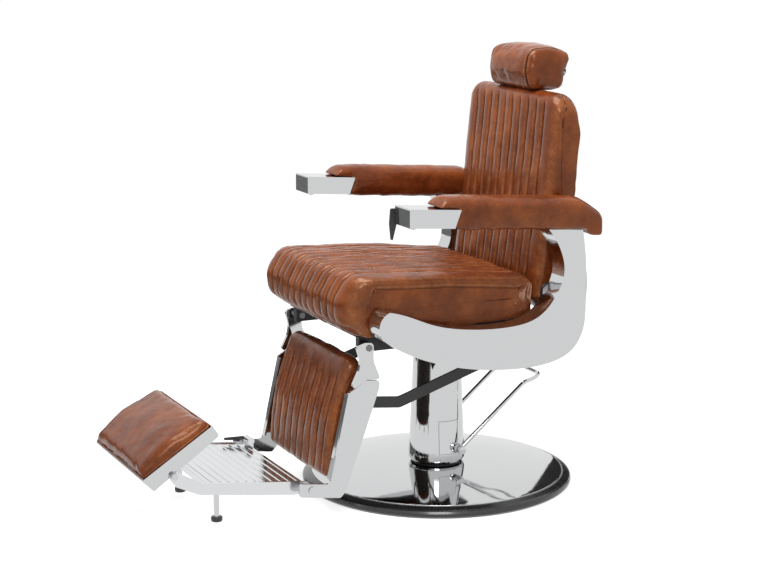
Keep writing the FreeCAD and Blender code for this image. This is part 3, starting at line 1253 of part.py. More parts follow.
def build_foot_plate():
    axis_y, axis_z = size("foot_hinge_back"), size("foot_hinge_height")
    front, front_z = size("foot_plate_front"), size("foot_plate_front_height")
    rear, rear_z = size("foot_plate_rear"), size("foot_plate_rear_height")
    inside, gauge = size("foot_rail_inside"), size("foot_rail_gauge")
    outside = inside + gauge
    pad_y, pad_z = size("pad_pivot_back"), size("pad_pivot_height")
    running = size("running_gap")
    rail_outline = rounded_wire([
        (axis_y + 12, axis_z - 12, 10),
        (axis_y + 12, axis_z + 13, 10),
        (front - 12, front_z + 3, 20),
        (pad_y + 8, pad_z + 9, 5),
        (pad_y - 15, pad_z - 3, 8),
        (pad_y + 4, pad_z - 26, 8),
        (front - 20, front_z - 24, 20),
        (rear - 28, rear_z - 27, 30),
    ], 0)
    rail = slab(rail_outline, inside, outside)
    rail = rail.cut(pin_along_x(size("foot_pin_radius") + running, inside - 1, outside + 1, axis_y, axis_z))
    rail = rail.cut(pin_along_x(size("pad_bolt_radius") + running, inside - 1, outside + 1, pad_y, pad_z))
    slope = (front_z - rear_z) / (front - rear)
    thickness = size("foot_plate_gauge")

    def top_at(y):
        return rear_z + slope * (y - rear)

    sheet_outline = rounded_wire([
        (rear, rear_z - thickness, 0.5), (rear, rear_z, 0.5), (front, front_z, 0.5),
        (front, front_z - thickness, 0.5)], 0)
    deck = slab(sheet_outline, -inside, inside)
    half_rib, rise = size("rib_width") / 2, size("rib_height")
    rib_half_length = inside - size("rib_margin")
    ribs = []
    for i in range(int(size("rib_count"))):
        y = rear - 12 - size("rib_pitch") * i
        crest = Part.Arc(vector(-rib_half_length, y - half_rib, top_at(y - half_rib)),
                         vector(-rib_half_length, y, top_at(y) + rise),
                         vector(-rib_half_length, y + half_rib, top_at(y + half_rib))).toShape()
        flat = Part.makeLine(vector(-rib_half_length, y + half_rib, top_at(y + half_rib)),
                             vector(-rib_half_length, y - half_rib, top_at(y - half_rib)))
        ribs.append(Part.Face(Part.Wire([crest, flat])).extrude(vector(2 * rib_half_length, 0, 0)))
    hem_outline = rounded_wire([
        (front + 8, top_at(front + 8) - 20, 1), (front + 8, top_at(front + 8) - 1, 1),
        (front + 4, top_at(front + 4) - 1, 1), (front + 4, top_at(front + 4) - 20, 1)], 0)
    hem = slab(hem_outline, -inside, inside)
    deck = deck.fuse([rail, rail.mirror(vector(0, 0, 0), vector(1, 0, 0)), hem] + ribs).removeSplitter()
    keep(shaped("foot_plate_weldment", deck), "foot_plate")

    bolt = pin_along_x(size("foot_pin_radius"), inside - 6, size("post_inside") + size("post_gauge") + 3,
                       axis_y, axis_z)
    bush = pin_along_x(size("foot_pin_radius") + 5, outside + 0.5, size("post_inside") - 0.5, axis_y, axis_z)
    head = pin_along_x(size("foot_pin_radius") + 4, size("post_inside") + size("post_gauge") + 0.5,
                       size("post_inside") + size("post_gauge") + 4, axis_y, axis_z)
    keep(shaped("foot_bolt_pair", both_sides(bolt.fuse([bush, head]).removeSplitter())), "foot_plate_bolts")

    peg_y, offset = size("peg_back"), size("peg_offset")
    ground, foot_height = size("peg_ground_gap"), size("peg_foot_height")
    rods, feet = [], []
    for side in SIDES.values():
        rod_top = top_at(peg_y) - thickness - 2 * size("peg_radius") * abs(slope) - 0.1
        rod = Part.makeCylinder(size("peg_radius"), rod_top - ground - foot_height,
                                vector(side * offset, peg_y, ground + foot_height))
        flange = Part.makeCylinder(size("peg_radius") * 2, 3, vector(side * offset, peg_y, rod_top - 4))
        rods.append(rod.fuse(flange).removeSplitter())
        foot = Part.makeCylinder(size("peg_foot_radius"), foot_height, vector(side * offset, peg_y, ground))
        feet.append(foot.makeFillet(3, foot.Edges[0:1] + foot.Edges[2:3]))
    keep(shaped("peg_pair", Part.makeCompound(rods)), "support_pegs")
    keep(shaped("peg_foot_pair", Part.makeCompound(feet)), "peg_feet")

    latch_y, latch_z, latch_x = size("latch_back"), size("latch_height"), size("latch_offset")
    barrel = pin_along_x(9, latch_x - 12, latch_x + 22, latch_y, latch_z)
    pin_room = pin_along_x(3 + running, latch_x - 13, latch_x + 14, latch_y, latch_z)
    stand = Part.makeBox(30, 12, latch_z - top_at(latch_y - 6) + 0.6,
                         vector(latch_x - 10, latch_y - 6, top_at(latch_y - 6) - 0.6))
    stand = stand.cut(deck)
    keep(shaped("latch_barrel_body", barrel.fuse(stand).cut(pin_room).removeSplitter()), "latch_barrel")
    lever_outline = rounded_wire([
        (latch_y + 5, latch_z + 5, 4), (latch_y - 60, latch_z + 7, 2), (latch_y - 60, latch_z + 1, 2),
        (latch_y + 5, latch_z - 5, 4)], 0)
    lever = slab(lever_outline, latch_x - 19, latch_x - 13)
    lever_pin = pin_along_x(3, latch_x - 14, latch_x + 12, latch_y, latch_z)
    keep(shaped("latch_lever_body", lever.fuse(lever_pin).removeSplitter()), "latch_lever")


# The foot pad: chrome tray and leather cushion that flip over about the front of the rails.

def build_foot_pad():
    axis_y, axis_z = size("pad_pivot_back"), size("pad_pivot_height")
    slope = math.radians(size("pad_slope"))
    ahead, length = size("pad_ahead"), size("pad_length")
    top, depth, gauge = size("tray_top"), size("tray_depth"), size("tray_gauge")
    half = size("pad_half_width")

    def on_slope(along, above):
        """A point of the pad, from its distance along the slope and square to it."""
        return (axis_y + along * math.cos(slope) - above * math.sin(slope),
                axis_z + along * math.sin(slope) + above * math.cos(slope))

    start, end = -ahead + 8, length - ahead + 8
    tray_corners = [
        on_slope(start + 8, top - depth - 6) + (6,),
        on_slope(end, top - depth + 2) + (6,),
        on_slope(end, top) + (2,),
        on_slope(start, top) + (2,),
    ]
    tray = slab(rounded_wire(tray_corners, 0), -half, half)
    well_corners = [
        on_slope(start + gauge, top - depth + gauge + 3) + (4,),
        on_slope(end - gauge, top - depth + gauge + 5) + (4,),
        on_slope(end - gauge, top + 9) + (1,),
        on_slope(start + gauge, top + 9) + (1,),
    ]
    well = slab(rounded_wire(well_corners, 0), -half + gauge, half - gauge)
    tray = tray.cut(well)
    bolt_room = pin_along_x(size("pad_bolt_radius"), -half - 1, half + 1, axis_y, axis_z)
    tray = tray.cut(bolt_room)
    keep(shaped("tray_shell", tray), "foot_pad_tray")

    bolt = pin_along_x(size("pad_bolt_radius"), half - 6, size("foot_rail_inside") + size("foot_rail_gauge")
                       + 1, axis_y, axis_z)
    head = pin_along_x(size("pad_bolt_radius") + 3, size("foot_rail_inside") + size("foot_rail_gauge") + 0.5,
                       size("foot_rail_inside") + size("foot_rail_gauge") + 3.5, axis_y, axis_z)
    keep(shaped("pad_bolt_pair", both_sides(bolt.fuse(head).removeSplitter())), "foot_pad_bolts")

    crown = size("pad_crown")
    gap = size("seat_gap")
    corners = [
        on_slope(start + gauge + 1, top - depth + gauge + 5) + (4,),
        on_slope(end - gauge - 1, top - depth + gauge + 6.5) + (4,),
        on_slope(end - gauge - 1, top + crown * 0.75) + (18,),
        on_slope((start + end) / 2, top + crown * 1.18) + (160,),
        on_slope(start + gauge + 1, top + crown * 0.75) + (18,),
    ]
    shares = [0, 0.3, 1, 1, 0.3]
    inner_half = half - gauge - gap
    stations = [(-inner_half, 17), (-inner_half + 4, 9), (-inner_half + 16, 4), (-inner_half * 0.5, 0.8),
                (0, 0), (inner_half * 0.5, 0.8), (inner_half - 16, 4), (inner_half - 4, 9), (inner_half, 17)]
    form = cushion(corners, shares, stations)
    pin_room = pin_along_x(size("pad_bolt_radius") + 1, -half - 1, half + 1, axis_y, axis_z)
    keep(shaped("foot_pad_form", form.cut(pin_room)), "foot_pad_cushion")


build_base()
build_column()
build_lever()
build_carrier()
build_side_panels()
build_seat_cushion()
build_back()
build_gas_spring()
build_headrest()
build_armrests()
build_leg_rest()
build_foot_plate()
build_foot_pad()
doc.recompute()

for thing in doc.Objects:
    if "Invalid" in thing.State or "Error" in thing.State:
        raise RuntimeError("%s did not build: %s" % (thing.Name, thing.State))
broken = [thing.Label for thing in PARTS
          if thing.Shape.isNull() or not thing.Shape.isValid() or not thing.Shape.Solids]
if broken:
    raise RuntimeError("no valid solid: " + ", ".join(broken))

os.makedirs("parts", exist_ok=True)
for thing in PARTS:
    thing.Shape.exportStep("parts/%s.step" % thing.Label)
    print("%-20s %d solids, %.0f cm3" % (thing.Label, len(thing.Shape.Solids), thing.Shape.Volume / 1000))
print(len(PARTS), "sub-parts")
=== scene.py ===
# %% [markdown]
# # A hydraulic barber chair in leather and chrome
#
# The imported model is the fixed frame: every metal part is already there, in metres, with +Z up and the
# chair facing -Y. This lesson lights it, gives each part its finish, and replaces the plain cushions with
# sewn leather ones.

# %% Load the frame
import json
import math
import bmesh
import bpy
import numpy as np
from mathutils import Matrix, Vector, noise


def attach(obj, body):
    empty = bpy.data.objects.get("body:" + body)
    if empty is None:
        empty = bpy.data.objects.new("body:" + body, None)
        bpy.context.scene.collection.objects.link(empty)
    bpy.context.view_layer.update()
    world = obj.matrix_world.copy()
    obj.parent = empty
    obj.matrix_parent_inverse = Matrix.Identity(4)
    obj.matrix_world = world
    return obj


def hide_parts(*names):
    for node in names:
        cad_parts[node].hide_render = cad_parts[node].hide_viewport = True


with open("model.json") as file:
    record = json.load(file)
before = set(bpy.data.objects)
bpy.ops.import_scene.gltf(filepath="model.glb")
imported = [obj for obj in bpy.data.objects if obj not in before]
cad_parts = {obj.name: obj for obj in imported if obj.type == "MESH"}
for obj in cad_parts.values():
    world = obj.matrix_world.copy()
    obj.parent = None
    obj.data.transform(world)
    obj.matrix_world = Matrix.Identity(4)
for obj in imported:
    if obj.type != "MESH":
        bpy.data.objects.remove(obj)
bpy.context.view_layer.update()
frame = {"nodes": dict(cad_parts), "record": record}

# %% [markdown]
# ## The camera
#
# The photograph was taken from the front left of the chair with a long lens. The place and the lens
# below reproduce its frame. A camera looks along its own -Z, so its turn is built from that direction.

# %% Camera
CAMERA_PLACE = Vector((4.1863, -2.1801, 1.4732))
CAMERA_AZIMUTH = math.radians(64.153)
CAMERA_ELEVATION = math.radians(11.604)
SENSOR_WIDTH = 36.0
FOCAL_LENGTH = 1876.5 / 768 * SENSOR_WIDTH

scene = bpy.context.scene
camera = bpy.data.objects.new("camera", bpy.data.cameras.new("camera"))
scene.collection.objects.link(camera)
camera.data.sensor_width = SENSOR_WIDTH
camera.data.lens = FOCAL_LENGTH
camera.location = CAMERA_PLACE
level = math.cos(CAMERA_ELEVATION)
looking = Vector((-math.sin(CAMERA_AZIMUTH) * level, math.cos(CAMERA_AZIMUTH) * level,
                  -math.sin(CAMERA_ELEVATION)))
camera.rotation_mode = "QUATERNION"
camera.rotation_quaternion = looking.to_track_quat("-Z", "Y")
scene.camera = camera
scene.view_settings.view_transform = "Standard"
print("lens %.2f mm" % camera.data.lens)

# %% [markdown]
# ## The studio
#
# A product picture like this one is lit by wide soft boxes over a white sweep. The lamps light the leather
# at a plain level. The white background is only what the camera, the mirrors and glass see: the world's
# Light Path says which ray is asking. Dark cards out of view give the chrome something black to reflect.

# %% Nodes for a material or the world
def node(tree, kind, **settings):
    """A shader node with its named inputs and properties set."""
    made = tree.nodes.new("ShaderNode" + kind)
    for name, setting in settings.items():
        if hasattr(made, name):
            setattr(made, name, setting)
        else:
            made.inputs[name.replace("_", " ")].default_value = setting
    return made


def join(tree, *chain):
    """Links (node, output) to (node, input), pair after pair."""
    for (from_node, output), (to_node, socket) in zip(chain[::2], chain[1::2]):
        tree.links.new(from_node.outputs[output], to_node.inputs[socket])


# %% World
AMBIENT = 0.30
world = bpy.data.worlds.new("studio")
scene.world = world
world.use_nodes = True
tree = world.node_tree
tree.nodes.clear()
rays = node(tree, "LightPath")
seen = node(tree, "Math", operation="MAXIMUM")
seen_more = node(tree, "Math", operation="MAXIMUM")
join(tree, (rays, "Is Camera Ray"), (seen, 0), (rays, "Is Glossy Ray"), (seen, 1),
     (seen, 0), (seen_more, 0), (rays, "Is Transmission Ray"), (seen_more, 1))
ambient = node(tree, "Background", Color=(1, 1, 1, 1), Strength=AMBIENT)
backdrop = node(tree, "Background", Color=(1, 1, 1, 1), Strength=1.0)
choice = node(tree, "MixShader")
output = node(tree, "OutputWorld")
join(tree, (seen_more, 0), (choice, 0), (ambient, 0), (choice, 1), (backdrop, 0), (choice, 2),
     (choice, 0), (output, 0))
print("world: ambient", AMBIENT)

# %% Floor
FLOOR_REACH = 30.0
FLOOR_WHITE = 0.80
FLOOR_LIFT = 0.76


def quad(name, corners):
    """One flat face, for the floor and the cards."""
    mesh = bpy.data.meshes.new(name)
    mesh.from_pydata(corners, [], [tuple(range(len(corners)))])
    thing = bpy.data.objects.new(name, mesh)
    scene.collection.objects.link(thing)
    return thing


floor = quad("floor", [(-FLOOR_REACH, -FLOOR_REACH, 0), (FLOOR_REACH, -FLOOR_REACH, 0),
                       (FLOOR_REACH, FLOOR_REACH, 0), (-FLOOR_REACH, FLOOR_REACH, 0)])
floor_finish = bpy.data.materials.new("pale_floor")
floor_finish.use_nodes = True
tree = floor_finish.node_tree
tree.nodes.clear()
matt = node(tree, "BsdfDiffuse", Color=(FLOOR_WHITE, FLOOR_WHITE, FLOOR_WHITE, 1))
glow = node(tree, "Emission", Color=(1, 1, 1, 1), Strength=FLOOR_LIFT)
both = node(tree, "AddShader")
flat = node(tree, "Emission", Color=(1, 1, 1, 1), Strength=1.0)
rays = node(tree, "LightPath")
mirrored = node(tree, "MixShader")
choice = node(tree, "MixShader")
output = node(tree, "OutputMaterial")
join(tree, (matt, 0), (both, 0), (glow, 0), (both, 1), (rays, "Is Glossy Ray"), (mirrored, 0),
     (matt, 0), (mirrored, 1), (flat, 0), (mirrored, 2), (rays, "Is Camera Ray"), (choice, 0),
     (mirrored, 0), (choice, 1), (both, 0), (choice, 2), (choice, 0), (output, 0))
floor.data.materials.append(floor_finish)

# %% Lamps and cards
# name, place, the point it faces, side in metres, watts
SOFT_BOXES = [("overhead_box", (0.2, -0.6, 2.9), (0, -0.1, 0.5), 1.7, 60),
              ("key_box", (2.9, -1.3, 2.6), (0, -0.1, 0.6), 1.1, 36),
              ("rear_box", (-1.6, 2.4, 2.2), (0, 0.1, 0.7), 1.2, 14)]
# one end of the card, the other end, its top edge, its grey
DARK_CARDS = [((-1.8, -3.2), (-1.8, -0.35), 0.55, 0.22), ((-0.9, 1.0), (-0.9, 2.8), 2.2, 0.02),
              ((-1.8, -3.2), (1.9, -3.2), 0.7, 0.02)]
CARD_FOOT = 0.01


for name, place, aim, side, watts in SOFT_BOXES:
    lamp = bpy.data.lights.new(name, "AREA")
    lamp.shape = "RECTANGLE"
    lamp.size, lamp.size_y, lamp.energy = side, side, watts
    thing = bpy.data.objects.new(name, lamp)
    thing.location = place
    thing.rotation_mode = "QUATERNION"
    thing.rotation_quaternion = (Vector(aim) - Vector(place)).to_track_quat("-Z", "Y")
    scene.collection.objects.link(thing)

for number, ((x_from, y_from), (x_to, y_to), top, grey) in enumerate(DARK_CARDS):
    card_finish = bpy.data.materials.new("dark_card_%d" % number)
    card_finish.use_nodes = True
    card_shader = card_finish.node_tree.nodes["Principled BSDF"]
    card_shader.inputs["Base Color"].default_value = (grey, grey, grey, 1)
    card_shader.inputs["Roughness"].default_value = 1.0
    card = quad("dark_card_%d" % number, [(x_from, y_from, CARD_FOOT), (x_to, y_to, CARD_FOOT),
                                          (x_to, y_to, top), (x_from, y_from, top)])
    card.data.materials.append(card_finish)
    card.visible_camera = card.visible_diffuse = card.visible_shadow = False
print("lamps and cards placed")

# %% [markdown]
# ## Hard finishes
#
# Polished chrome is a metal with almost no roughness, and what makes it look real is what it mirrors. A
# faint large bump keeps its mirror from being perfect, as plating over hand polished steel does. The
# other metals differ in colour, roughness and grain. A number that holds all over goes straight on the
# shader's socket.

# %% Hard finishes
def finish(name, colour, metallic, roughness, **sockets):
    """A material whose shader sockets hold plain numbers; returns it with its tree and shader."""
    made = bpy.data.materials.new(name)
    made.use_nodes = True
    shader = made.node_tree.nodes["Principled BSDF"]
    shader.inputs["Base Color"].default_value = (*colour, 1)
    shader.inputs["Metallic"].default_value = metallic
    shader.inputs["Roughness"].default_value = roughness
    for socket, setting in sockets.items():
        shader.inputs[socket.replace("_", " ")].default_value = setting
    return made, made.node_tree, shader


def uneven(tree, shader, scale, low, high, detail=4.0, stretch=(1, 1, 1)):
    """Lets the roughness wander between two values, by a noise stretched along an axis."""
    place = node(tree, "TexCoord")
    turn = node(tree, "Mapping", Scale=stretch)
    cloud = node(tree, "TexNoise", Scale=scale, Detail=detail)
    span = node(tree, "MapRange", To_Min=low, To_Max=high)
    join(tree, (place, "Object"), (turn, 0), (turn, 0), (cloud, "Vector"),
         (cloud, 0), (span, 0), (span, 0), (shader, "Roughness"))
    return cloud


def bumped(tree, shader, height, socket, distance, strength=1.0):
    bump = node(tree, "Bump", Strength=strength, Distance=distance)
    join(tree, (height, socket), (bump, "Height"), (bump, 0), (shader, "Normal"))


chrome, tree, shader = finish("polished_chrome", (0.61, 0.615, 0.62), 1.0, 0.05)
cloud = uneven(tree, shader, 9.0, 0.035, 0.075)
bumped(tree, shader, cloud, 0, 0.0004, 0.25)

black_satin, tree, shader = finish("black_powder_coat", (0.022, 0.022, 0.024), 0.0, 0.42)
cloud = uneven(tree, shader, 900.0, 0.34, 0.52, 2.0)
bumped(tree, shader, cloud, 0, 0.0003, 0.3)

rubber, tree, shader = finish("black_trim_rubber", (0.016, 0.016, 0.017), 0.0, 0.24, Coat_Weight=0.4,
                              Coat_Roughness=0.12)
cloud = uneven(tree, shader, 60.0, 0.2, 0.34)

iron, tree, shader = finish("cast_iron", (0.10, 0.10, 0.105), 0.6, 0.6)
cloud = uneven(tree, shader, 260.0, 0.5, 0.75)
bumped(tree, shader, cloud, 0, 0.002, 0.5)

steel, tree, shader = finish("blackened_steel", (0.20, 0.20, 0.21), 1.0, 0.32)
uneven(tree, shader, 40.0, 0.2, 0.38, 3.0, (40, 1, 1))

brass, tree, shader = finish("brass_gland", (0.74, 0.54, 0.24), 1.0, 0.25)
uneven(tree, shader, 60.0, 0.2, 0.34)

aluminium, tree, shader = finish("polished_aluminium", (0.70, 0.71, 0.72), 1.0, 0.13)
cloud = uneven(tree, shader, 30.0, 0.09, 0.18, 5.0, (1, 14, 14))
bumped(tree, shader, cloud, 0, 0.0003, 0.2)

plywood, tree, shader = finish("stained_plywood", (0.05, 0.035, 0.025), 0.0, 0.5)
place = node(tree, "TexCoord")
grain = node(tree, "TexWave", Scale=9.0, Distortion=6.0, Detail=3.0)
ramp = node(tree, "ValToRGB")
ramp.color_ramp.elements[0].color = (0.022, 0.015, 0.011, 1)
ramp.color_ramp.elements[1].color = (0.06, 0.043, 0.032, 1)
join(tree, (place, "Object"), (grain, "Vector"), (grain, "Fac"), (ramp, 0), (ramp, 0), (shader, "Base Color"))

FINISHES = {"chrome": chrome, "black_steel": black_satin, "rubber_black": rubber, "cast_iron": iron,
            "steel": steel, "gland_brass": brass, "foot_aluminium": aluminium, "plywood": plywood}
slot_of = {entry["node"]: entry["material_slot"] for entry in frame["record"]["subparts"]}
for name, thing in frame["nodes"].items():
    if slot_of[name] in FINISHES:
        thing.data.materials.clear()
        thing.data.materials.append(FINISHES[slot_of[name]])
print("finishes:", ", ".join(sorted(FINISHES)))

# %% [markdown]
# ## Broken edges
#
# No plated part has a knife edge: each catches a thin line of light. The frame's meshes can't be changed,
# but modifiers may be added: Weld joins the faces, Bevel rounds edges sharper than thirty degrees, and
# Weighted Normal keeps the flats flat.

# %% Rounded edges on the metal parts
EDGE_ROUNDING = {
    "left_side_panel": 1.6, "right_side_panel": 1.6, "left_arm_block": 1.2, "right_arm_block": 1.2,
    "left_leg_post": 1.0, "right_leg_post": 1.0, "leg_arms": 1.2, "foot_plate": 0.6, "foot_pad_tray": 0.7,
    "left_link_strap": 0.7, "right_link_strap": 0.7, "seat_frame": 1.5, "headrest_bars": 0.8,
    "headrest_hinge": 0.7, "lever_hubs": 0.8, "swivel_plate": 1.2, "latch_lever": 0.8,
    "recline_trigger": 0.8, "back_frame": 0.8, "lever_end_caps": 0.6, "foot_plate_bolts": 0.6,
    "base_plate": 0.8, "column_shroud": 0.3,
}
for name, radius in EDGE_ROUNDING.items():
    thing = frame["nodes"][name]
    weld = thing.modifiers.new("weld", "WELD")
    weld.merge_threshold = 0.00002
    bevel = thing.modifiers.new("bevel", "BEVEL")
    bevel.width = radius / 1000
    bevel.segments = 2
    bevel.limit_method = "ANGLE"
    bevel.angle_limit = math.radians(30)
    bevel.harden_normals = False
    flats = thing.modifiers.new("flats", "WEIGHTED_NORMAL")
    flats.keep_sharp = True
print("rounded:", len(EDGE_ROUNDING))

# %% [markdown]
# ## The leather
#
# It is a waxed, distressed cognac hide, orange brown over the padding. Four layers make it: wide clouds of
# dye, small mottling, a pebbled grain for the bump, and a mask that each cushion carries as an attribute of
# its mesh. That mask paints pale bands beside the sewn channels, the seams and the rolled edges: partly wear,
# partly painted highlight. Another mask paints shade into the creases: near black, with almost no shine.

# %% Leather
LEATHER_DARK = (0.108, 0.021, 0.006, 1)
LEATHER_MIDDLE = (0.185, 0.041, 0.010, 1)
LEATHER_LIGHT = (0.290, 0.076, 0.018, 1)
# Worn leather and painted highlight: the pale colour of the bands beside the channels, seams and rolled
# edges.
LEATHER_WORN_AND_HIGHLIGHT = (0.480, 0.188, 0.068, 1)
# Painted shade: the near black colour of the creases in the channels and seams.
LEATHER_CREASE_SHADE = (0.010, 0.002, 0.001, 1)
LEATHER_SHEEN = (1.0, 0.70, 0.50, 1)

leather, tree, shader = finish("cognac_leather", LEATHER_MIDDLE[:3], 0.0, 0.36, Specular_IOR_Level=0.5,
                               Specular_Tint=LEATHER_SHEEN)
place = node(tree, "TexCoord")
clouds = node(tree, "TexNoise", Scale=13.0, Detail=5.0, Roughness=0.62)
dye = node(tree, "ValToRGB")
dye.color_ramp.elements[0].position, dye.color_ramp.elements[0].color = 0.30, LEATHER_DARK
dye.color_ramp.elements[1].position, dye.color_ramp.elements[1].color = 0.72, LEATHER_LIGHT
dye.color_ramp.elements.new(0.5).color = LEATHER_MIDDLE
mottle = node(tree, "TexNoise", Scale=95.0, Detail=6.0, Roughness=0.7)
mottle_span = node(tree, "MapRange", From_Min=0.3, From_Max=0.7, To_Min=0.86, To_Max=1.13)
mottled = node(tree, "Mix", data_type="RGBA", blend_type="MULTIPLY")
mottled.inputs[0].default_value = 1.0
grey = node(tree, "CombineColor")
join(tree, (place, "Object"), (clouds, "Vector"), (clouds, 0), (dye, 0),
     (place, "Object"), (mottle, "Vector"), (mottle, 0), (mottle_span, 0),
     (mottle_span, 0), (grey, 0), (mottle_span, 0), (grey, 1), (mottle_span, 0), (grey, 2))
tree.links.new(dye.outputs[0], mottled.inputs[6])
tree.links.new(grey.outputs[0], mottled.inputs[7])

# Pale bands, partly wear and partly painted highlight, broken up by a scuff noise.
wear_and_highlight = node(tree, "Attribute", attribute_name="wear_and_highlight")
scuffs = node(tree, "TexNoise", Scale=55.0, Detail=8.0, Roughness=0.75)
scuff_span = node(tree, "MapRange", From_Min=0.40, From_Max=0.66, To_Min=0.15, To_Max=1.0)
wear_and_highlight_amount = node(tree, "Math", operation="MULTIPLY", use_clamp=True)
wear_and_highlight_mixed = node(tree, "Mix", data_type="RGBA")
wear_and_highlight_mixed.inputs[7].default_value = LEATHER_WORN_AND_HIGHLIGHT
# Painted shade: the creases are mixed towards near black.
crease_shade = node(tree, "Attribute", attribute_name="crease_shade")
crease_shaded = node(tree, "Mix", data_type="RGBA")
crease_shaded.inputs[7].default_value = LEATHER_CREASE_SHADE
join(tree, (place, "Object"), (scuffs, "Vector"), (scuffs, 0), (scuff_span, 0), (wear_and_highlight, "Fac"), (wear_and_highlight_amount, 0),
     (scuff_span, 0), (wear_and_highlight_amount, 1), (wear_and_highlight_amount, 0), (wear_and_highlight_mixed, 0), (crease_shade, "Fac"), (crease_shaded, 0))
tree.links.new(mottled.outputs[2], wear_and_highlight_mixed.inputs[6])
tree.links.new(wear_and_highlight_mixed.outputs[2], crease_shaded.inputs[6])
tree.links.new(crease_shaded.outputs[2], shader.inputs["Base Color"])

# Painted shade: the creases lose almost all their shine.
shine = node(tree, "MapRange", To_Min=0.5, To_Max=0.04)
join(tree, (crease_shade, "Fac"), (shine, 0), (shine, 0), (shader, "Specular IOR Level"))
gloss_span = node(tree, "MapRange", From_Min=0.3, From_Max=0.7, To_Min=0.15, To_Max=0.30)
join(tree, (mottle, 0), (gloss_span, 0), (gloss_span, 0), (shader, "Roughness"))
pebbles = node(tree, "TexVoronoi", Scale=620.0, feature="DISTANCE_TO_EDGE")
folds = node(tree, "TexNoise", Scale=150.0, Detail=5.0, Roughness=0.65)
pebble_bump = node(tree, "Bump", Strength=0.2, Distance=0.0004)
fold_bump = node(tree, "Bump", Strength=0.14, Distance=0.0012)
join(tree, (place, "Object"), (pebbles, "Vector"), (place, "Object"), (folds, "Vector"),
     (folds, 0), (fold_bump, "Height"), (pebbles, 0), (pebble_bump, "Height"),
     (fold_bump, 0), (pebble_bump, "Normal"), (pebble_bump, 0), (shader, "Normal"))

print("leather:", len(leather.node_tree.nodes), "nodes")

# %% [markdown]
# ## How a cushion is made
#
# Each cushion is an outline in the side plane, carried across the chair. The outline is straight runs and
# tangent arcs. Towards the two sides it draws in, more at the padded faces than at the base, which gives
# the rolled edges, and sewn channels are pressed in as it goes. The sides close with rings that run to a
# line in the middle, so that they can bulge and carry a seam.

# %% Outline of a cushion
def outline_points(corners, step):
    """Points (y, z), outward normals and side shares along a closed outline of (y, z, radius, drop)."""
    count = len(corners)
    at = [np.array(corner[:2], float) for corner in corners]
    places, normals, drops = [], [], []
    runs = []
    for i in range(count):
        before = at[i - 1] - at[i]
        after = at[(i + 1) % count] - at[i]
        before, after = before / np.linalg.norm(before), after / np.linalg.norm(after)
        half = math.acos(np.clip(before @ after, -1, 1)) / 2
        run = corners[i][2] / math.tan(half)
        middle = (before + after) / np.linalg.norm(before + after)
        centre = at[i] + middle * corners[i][2] / math.sin(half)
        runs.append((at[i] + before * run, at[i] + after * run, centre, corners[i][2]))
    turn = 1.0 if sum(at[i - 1][0] * at[i][1] - at[i - 1][1] * at[i][0] for i in range(count)) > 0 else -1.0
    for i in range(count):
        entry, leave, centre, radius = runs[i]
        start = math.atan2(*(entry - centre)[::-1])
        sweep = math.atan2(*(leave - centre)[::-1]) - start
        sweep = (sweep + math.pi) % (2 * math.pi) - math.pi
        steps = max(3, int(abs(sweep) * radius / step) + 1, int(abs(sweep) / 0.16))
        drop_in, drop_out = corners[i - 1][3], corners[i][3]
        for k in range(steps + 1):
            angle = start + sweep * k / steps
            outward = np.array((math.cos(angle), math.sin(angle)))
            places.append(centre + radius * outward)
            normals.append(outward * (1 if sweep * turn > 0 else -1))
            share = 0.5 - 0.5 * math.cos(math.pi * k / steps)
            drops.append(drop_in + (drop_out - drop_in) * share)
        following = runs[(i + 1) % count][0]
        length = np.linalg.norm(following - leave)
        straight = int(length / step)
        for k in range(1, straight):
            places.append(leave + (following - leave) * k / straight)
            normals.append(normals[-1])
            drops.append(drop_out)
    return np.array(places), np.array(normals), np.array(drops)


# %% Stations across a cushion
def stations(half, grooves, pitch):
    """X of every section: close together at a groove and near the sides."""
    lines = [pitch * (i - (grooves - 1) / 2) for i in range(grooves)]
    xs = set()
    for line in lines:
        xs.update(round(line + offset, 3) for offset in (-3.4, -1.5, 0, 1.5, 3.4))
    for left, right in zip(lines, lines[1:]):
        xs.update(round(left + (right - left) * part, 3) for part in (0.17, 0.28, 0.4, 0.5, 0.6, 0.72, 0.83))
    edge = lines[-1] if lines else 0.0
    border = half - edge
    for part in (0.12, 0.22, 0.34, 0.46, 0.56, 0.66, 0.74, 0.81, 0.87, 0.915, 0.95, 0.975, 0.992, 1.0):
        xs.update((round(edge + border * part, 3), round(-edge - border * part, 3)))
    if not lines:
        xs.add(0.0)
        xs.update(round(half * part, 3) for part in (-0.08, 0.08))
    return np.array(sorted(xs)), lines


# %% Body of a cushion
CHANNEL_PITCH = 38.0
GROOVE_WIDTH, SHOULDER_WIDTH, SHOULDER_SHARE = 2.2, 9.0, 0.7
# Width of the painted shade in each crease; place, width and strength of the painted highlight bands beside
# it.
SHADE_WIDTH, HIGHLIGHT_AWAY, HIGHLIGHT_WIDTH, HIGHLIGHT_SHARE = 2.1, 5.6, 2.2, 0.6
# Painted highlight along the rolled edge of the top.
LIP_PLACE, LIP_WIDTH, LIP_HIGHLIGHT = 0.20, 9.0, 0.5
# The side seam: its width and depth, and the strength of the painted shade in its line.
SEAM_WIDTH, SEAM_DEPTH, SEAM_SHADE = 1.8, 2.6, 0.5
# The painted highlight beside the side seam.
SEAM_HIGHLIGHT_AWAY, SEAM_HIGHLIGHT_WIDTH, SEAM_HIGHLIGHT = 6, 3.2, 0.8
SIDE_RINGS = (1.2, 3.0, 5.0, 7.0, 8.8, 10.4, 12.0, 14.0, 17.5, 22.0, 29.0, 37.0, 47.0, 60.0, 80.0)


def bell(distance, width):
    return math.exp(-(distance / width) ** 2)


def roll(t, power=2.3):
    """0 in the middle, 1 at the outermost station, round like an upholstered edge."""
    t = np.clip(t, 0, 1)
    return 1 - (1 - t ** power) ** (1 / power)


